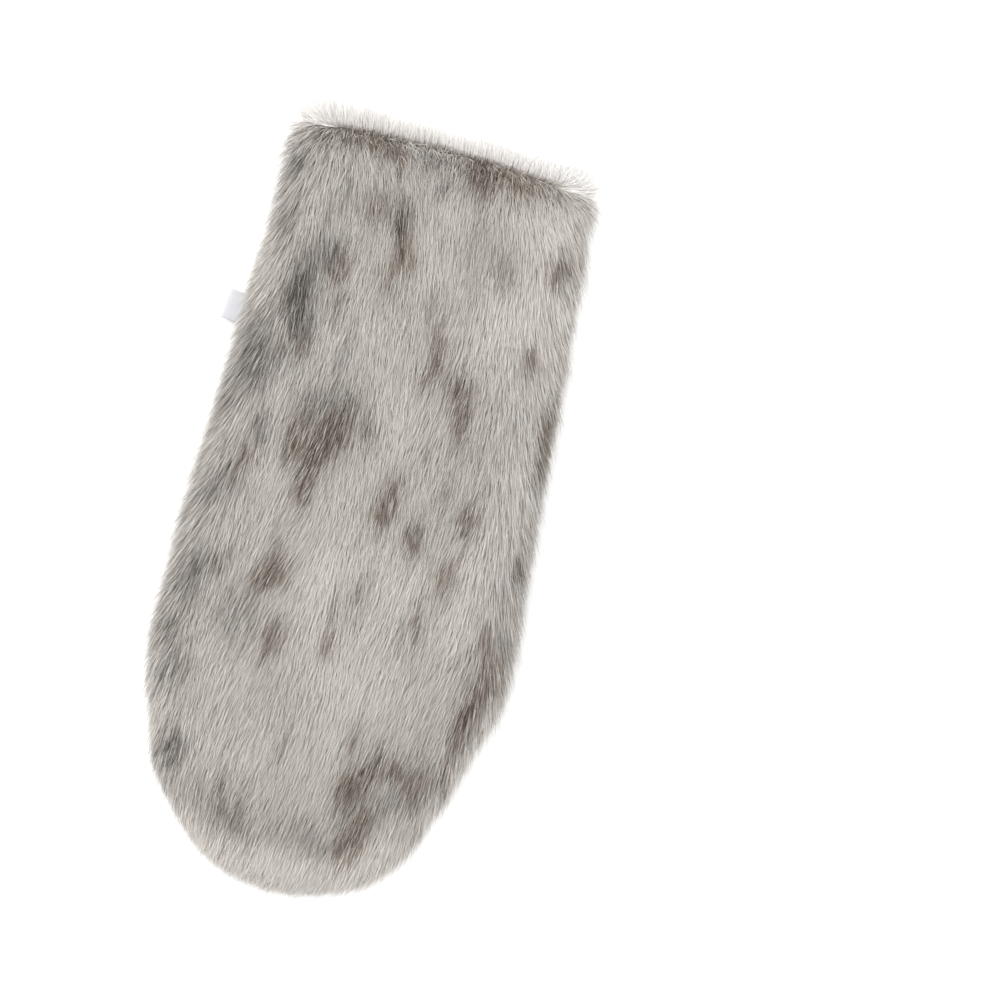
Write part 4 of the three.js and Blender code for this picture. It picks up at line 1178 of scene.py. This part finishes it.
def label_piece():
    """A tape folded in two, its closed edge outwards."""
    path = np.array([[-p["out"], p["z"]] for p in LABEL_PATH])
    s = np.r_[0, np.cumsum(np.linalg.norm(np.diff(path, axis=0), axis=1))]
    q = np.linspace(0, s[-1], 40)
    c = np.stack([np.interp(q, s, path[:, k]) for k in (0, 1)], 1)
    d = unit(np.gradient(c, axis=0))
    nrm = np.stack([-d[:, 1], d[:, 0]], 1)
    half = np.full(40, 0.40)
    half[-3:] = (0.36, 0.30, 0.16)
    up, dn = c + nrm * half[:, None], c - nrm * half[:, None]
    ringp = np.concatenate([up, dn[::-1]])
    along = np.linspace(-LABEL_ALONG / 2, LABEL_ALONG / 2, 16)
    a = -math.radians(LABEL_TURN)
    root = lay(np.array(-seam_half(LABEL_T)), LABEL_T, 0.0)
    v = np.empty((len(along), len(ringp), 3))
    v[..., 0] = ringp[None, :, 0]
    v[..., 1] = along[:, None]
    v[..., 2] = ringp[None, :, 1] + 0.10 * np.sin(along[:, None] * 0.7 + ringp[None, :, 0] * 0.2)
    x = v[..., 0] * math.cos(a) - v[..., 1] * math.sin(a) + root[0]
    y = v[..., 0] * math.sin(a) + v[..., 1] * math.cos(a) + root[1]
    v[..., 0], v[..., 1] = x, y
    m, k = v.shape[:2]
    i, j = np.arange(m - 1)[:, None] * k, np.arange(k)[None]
    p, q = (i + j).ravel(), (i + (j + 1) % k).ravel()
    faces = np.stack([p, q, q + k, p + k], 1)
    caps = []
    for e, rev in ((0, True), (m - 1, False)):
        lo, hi = e * k + np.arange(39), e * k + k - 1 - np.arange(39)
        f = np.stack([lo, lo + 1, hi - 1, hi], 1)
        caps.append(f[:, ::-1] if rev else f)
    return v.reshape(-1, 3), [faces, *caps]


v, f = label_piece()
label = mesh_object("label_tape", v, f)
weld(label)
finish_piece(label, TAPE, "label", "side_label")


# ------------------------------------------------------------------ studio
def studio():
    me = bpy.data.meshes.new("floor")
    me.from_pydata([(-3, -3, 0), (3, -3, 0), (3, 3, 0), (-3, 3, 0)], [], [(0, 1, 2, 3)])
    floor = bpy.data.objects.new("floor", me)
    bpy.context.scene.collection.objects.link(floor)
    mat, nt, bsdf = new_material("floor_white")
    bsdf.inputs["Base Color"].default_value = (0.93, 0.93, 0.93, 1)
    bsdf.inputs["Roughness"].default_value = 0.9
    bsdf.inputs["Specular IOR Level"].default_value = 0.1
    bsdf.inputs["Emission Color"].default_value = (1, 1, 1, 1)
    bsdf.inputs["Emission Strength"].default_value = 0.25
    me.materials.append(mat)

    world = bpy.data.worlds.new("studio")
    world.use_nodes = True
    world.node_tree.nodes["Background"].inputs[0].default_value = (1, 1, 1, 1)
    world.node_tree.nodes["Background"].inputs[1].default_value = 1.0
    bpy.context.scene.world = world

    def area(name, place, aim, size, power):
        data = bpy.data.lights.new(name, "AREA")
        data.shape, data.size, data.energy = "SQUARE", size, power
        ob = bpy.data.objects.new(name, data)
        bpy.context.scene.collection.objects.link(ob)
        ob.location = place
        ob.rotation_euler = (Vector(aim) - Vector(place)).to_track_quat("-Z", "Y").to_euler()
    area("key", (-0.9, 0.7, 1.3), (0, 0, 0), 0.7, 17)
    area("fill", (0.9, -0.4, 1.6), (0, 0, 0), 1.2, 8)

    scene = bpy.context.scene
    scene.view_settings.view_transform = "Standard"
    scene.view_settings.look = "None"
    scene.view_settings.exposure = 0.0
    scene.view_settings.gamma = 1.0


def camera():
    """Straight above, turned so that the mitten lies aslant in the frame."""
    turn = math.radians(13.1)
    distance, width = 1.6, 0.370
    data = bpy.data.cameras.new("camera")
    data.sensor_width = 36
    data.lens = 36 * (distance - 0.015) / width
    data.clip_end = 20
    ob = bpy.data.objects.new("camera", data)
    bpy.context.scene.collection.objects.link(ob)
    ob.location = (0.0479, (CENTRE_Y - 121.0) * 0.001, distance)
    ob.rotation_euler = (0, 0, turn)
    bpy.context.scene.camera = ob


studio()
camera()
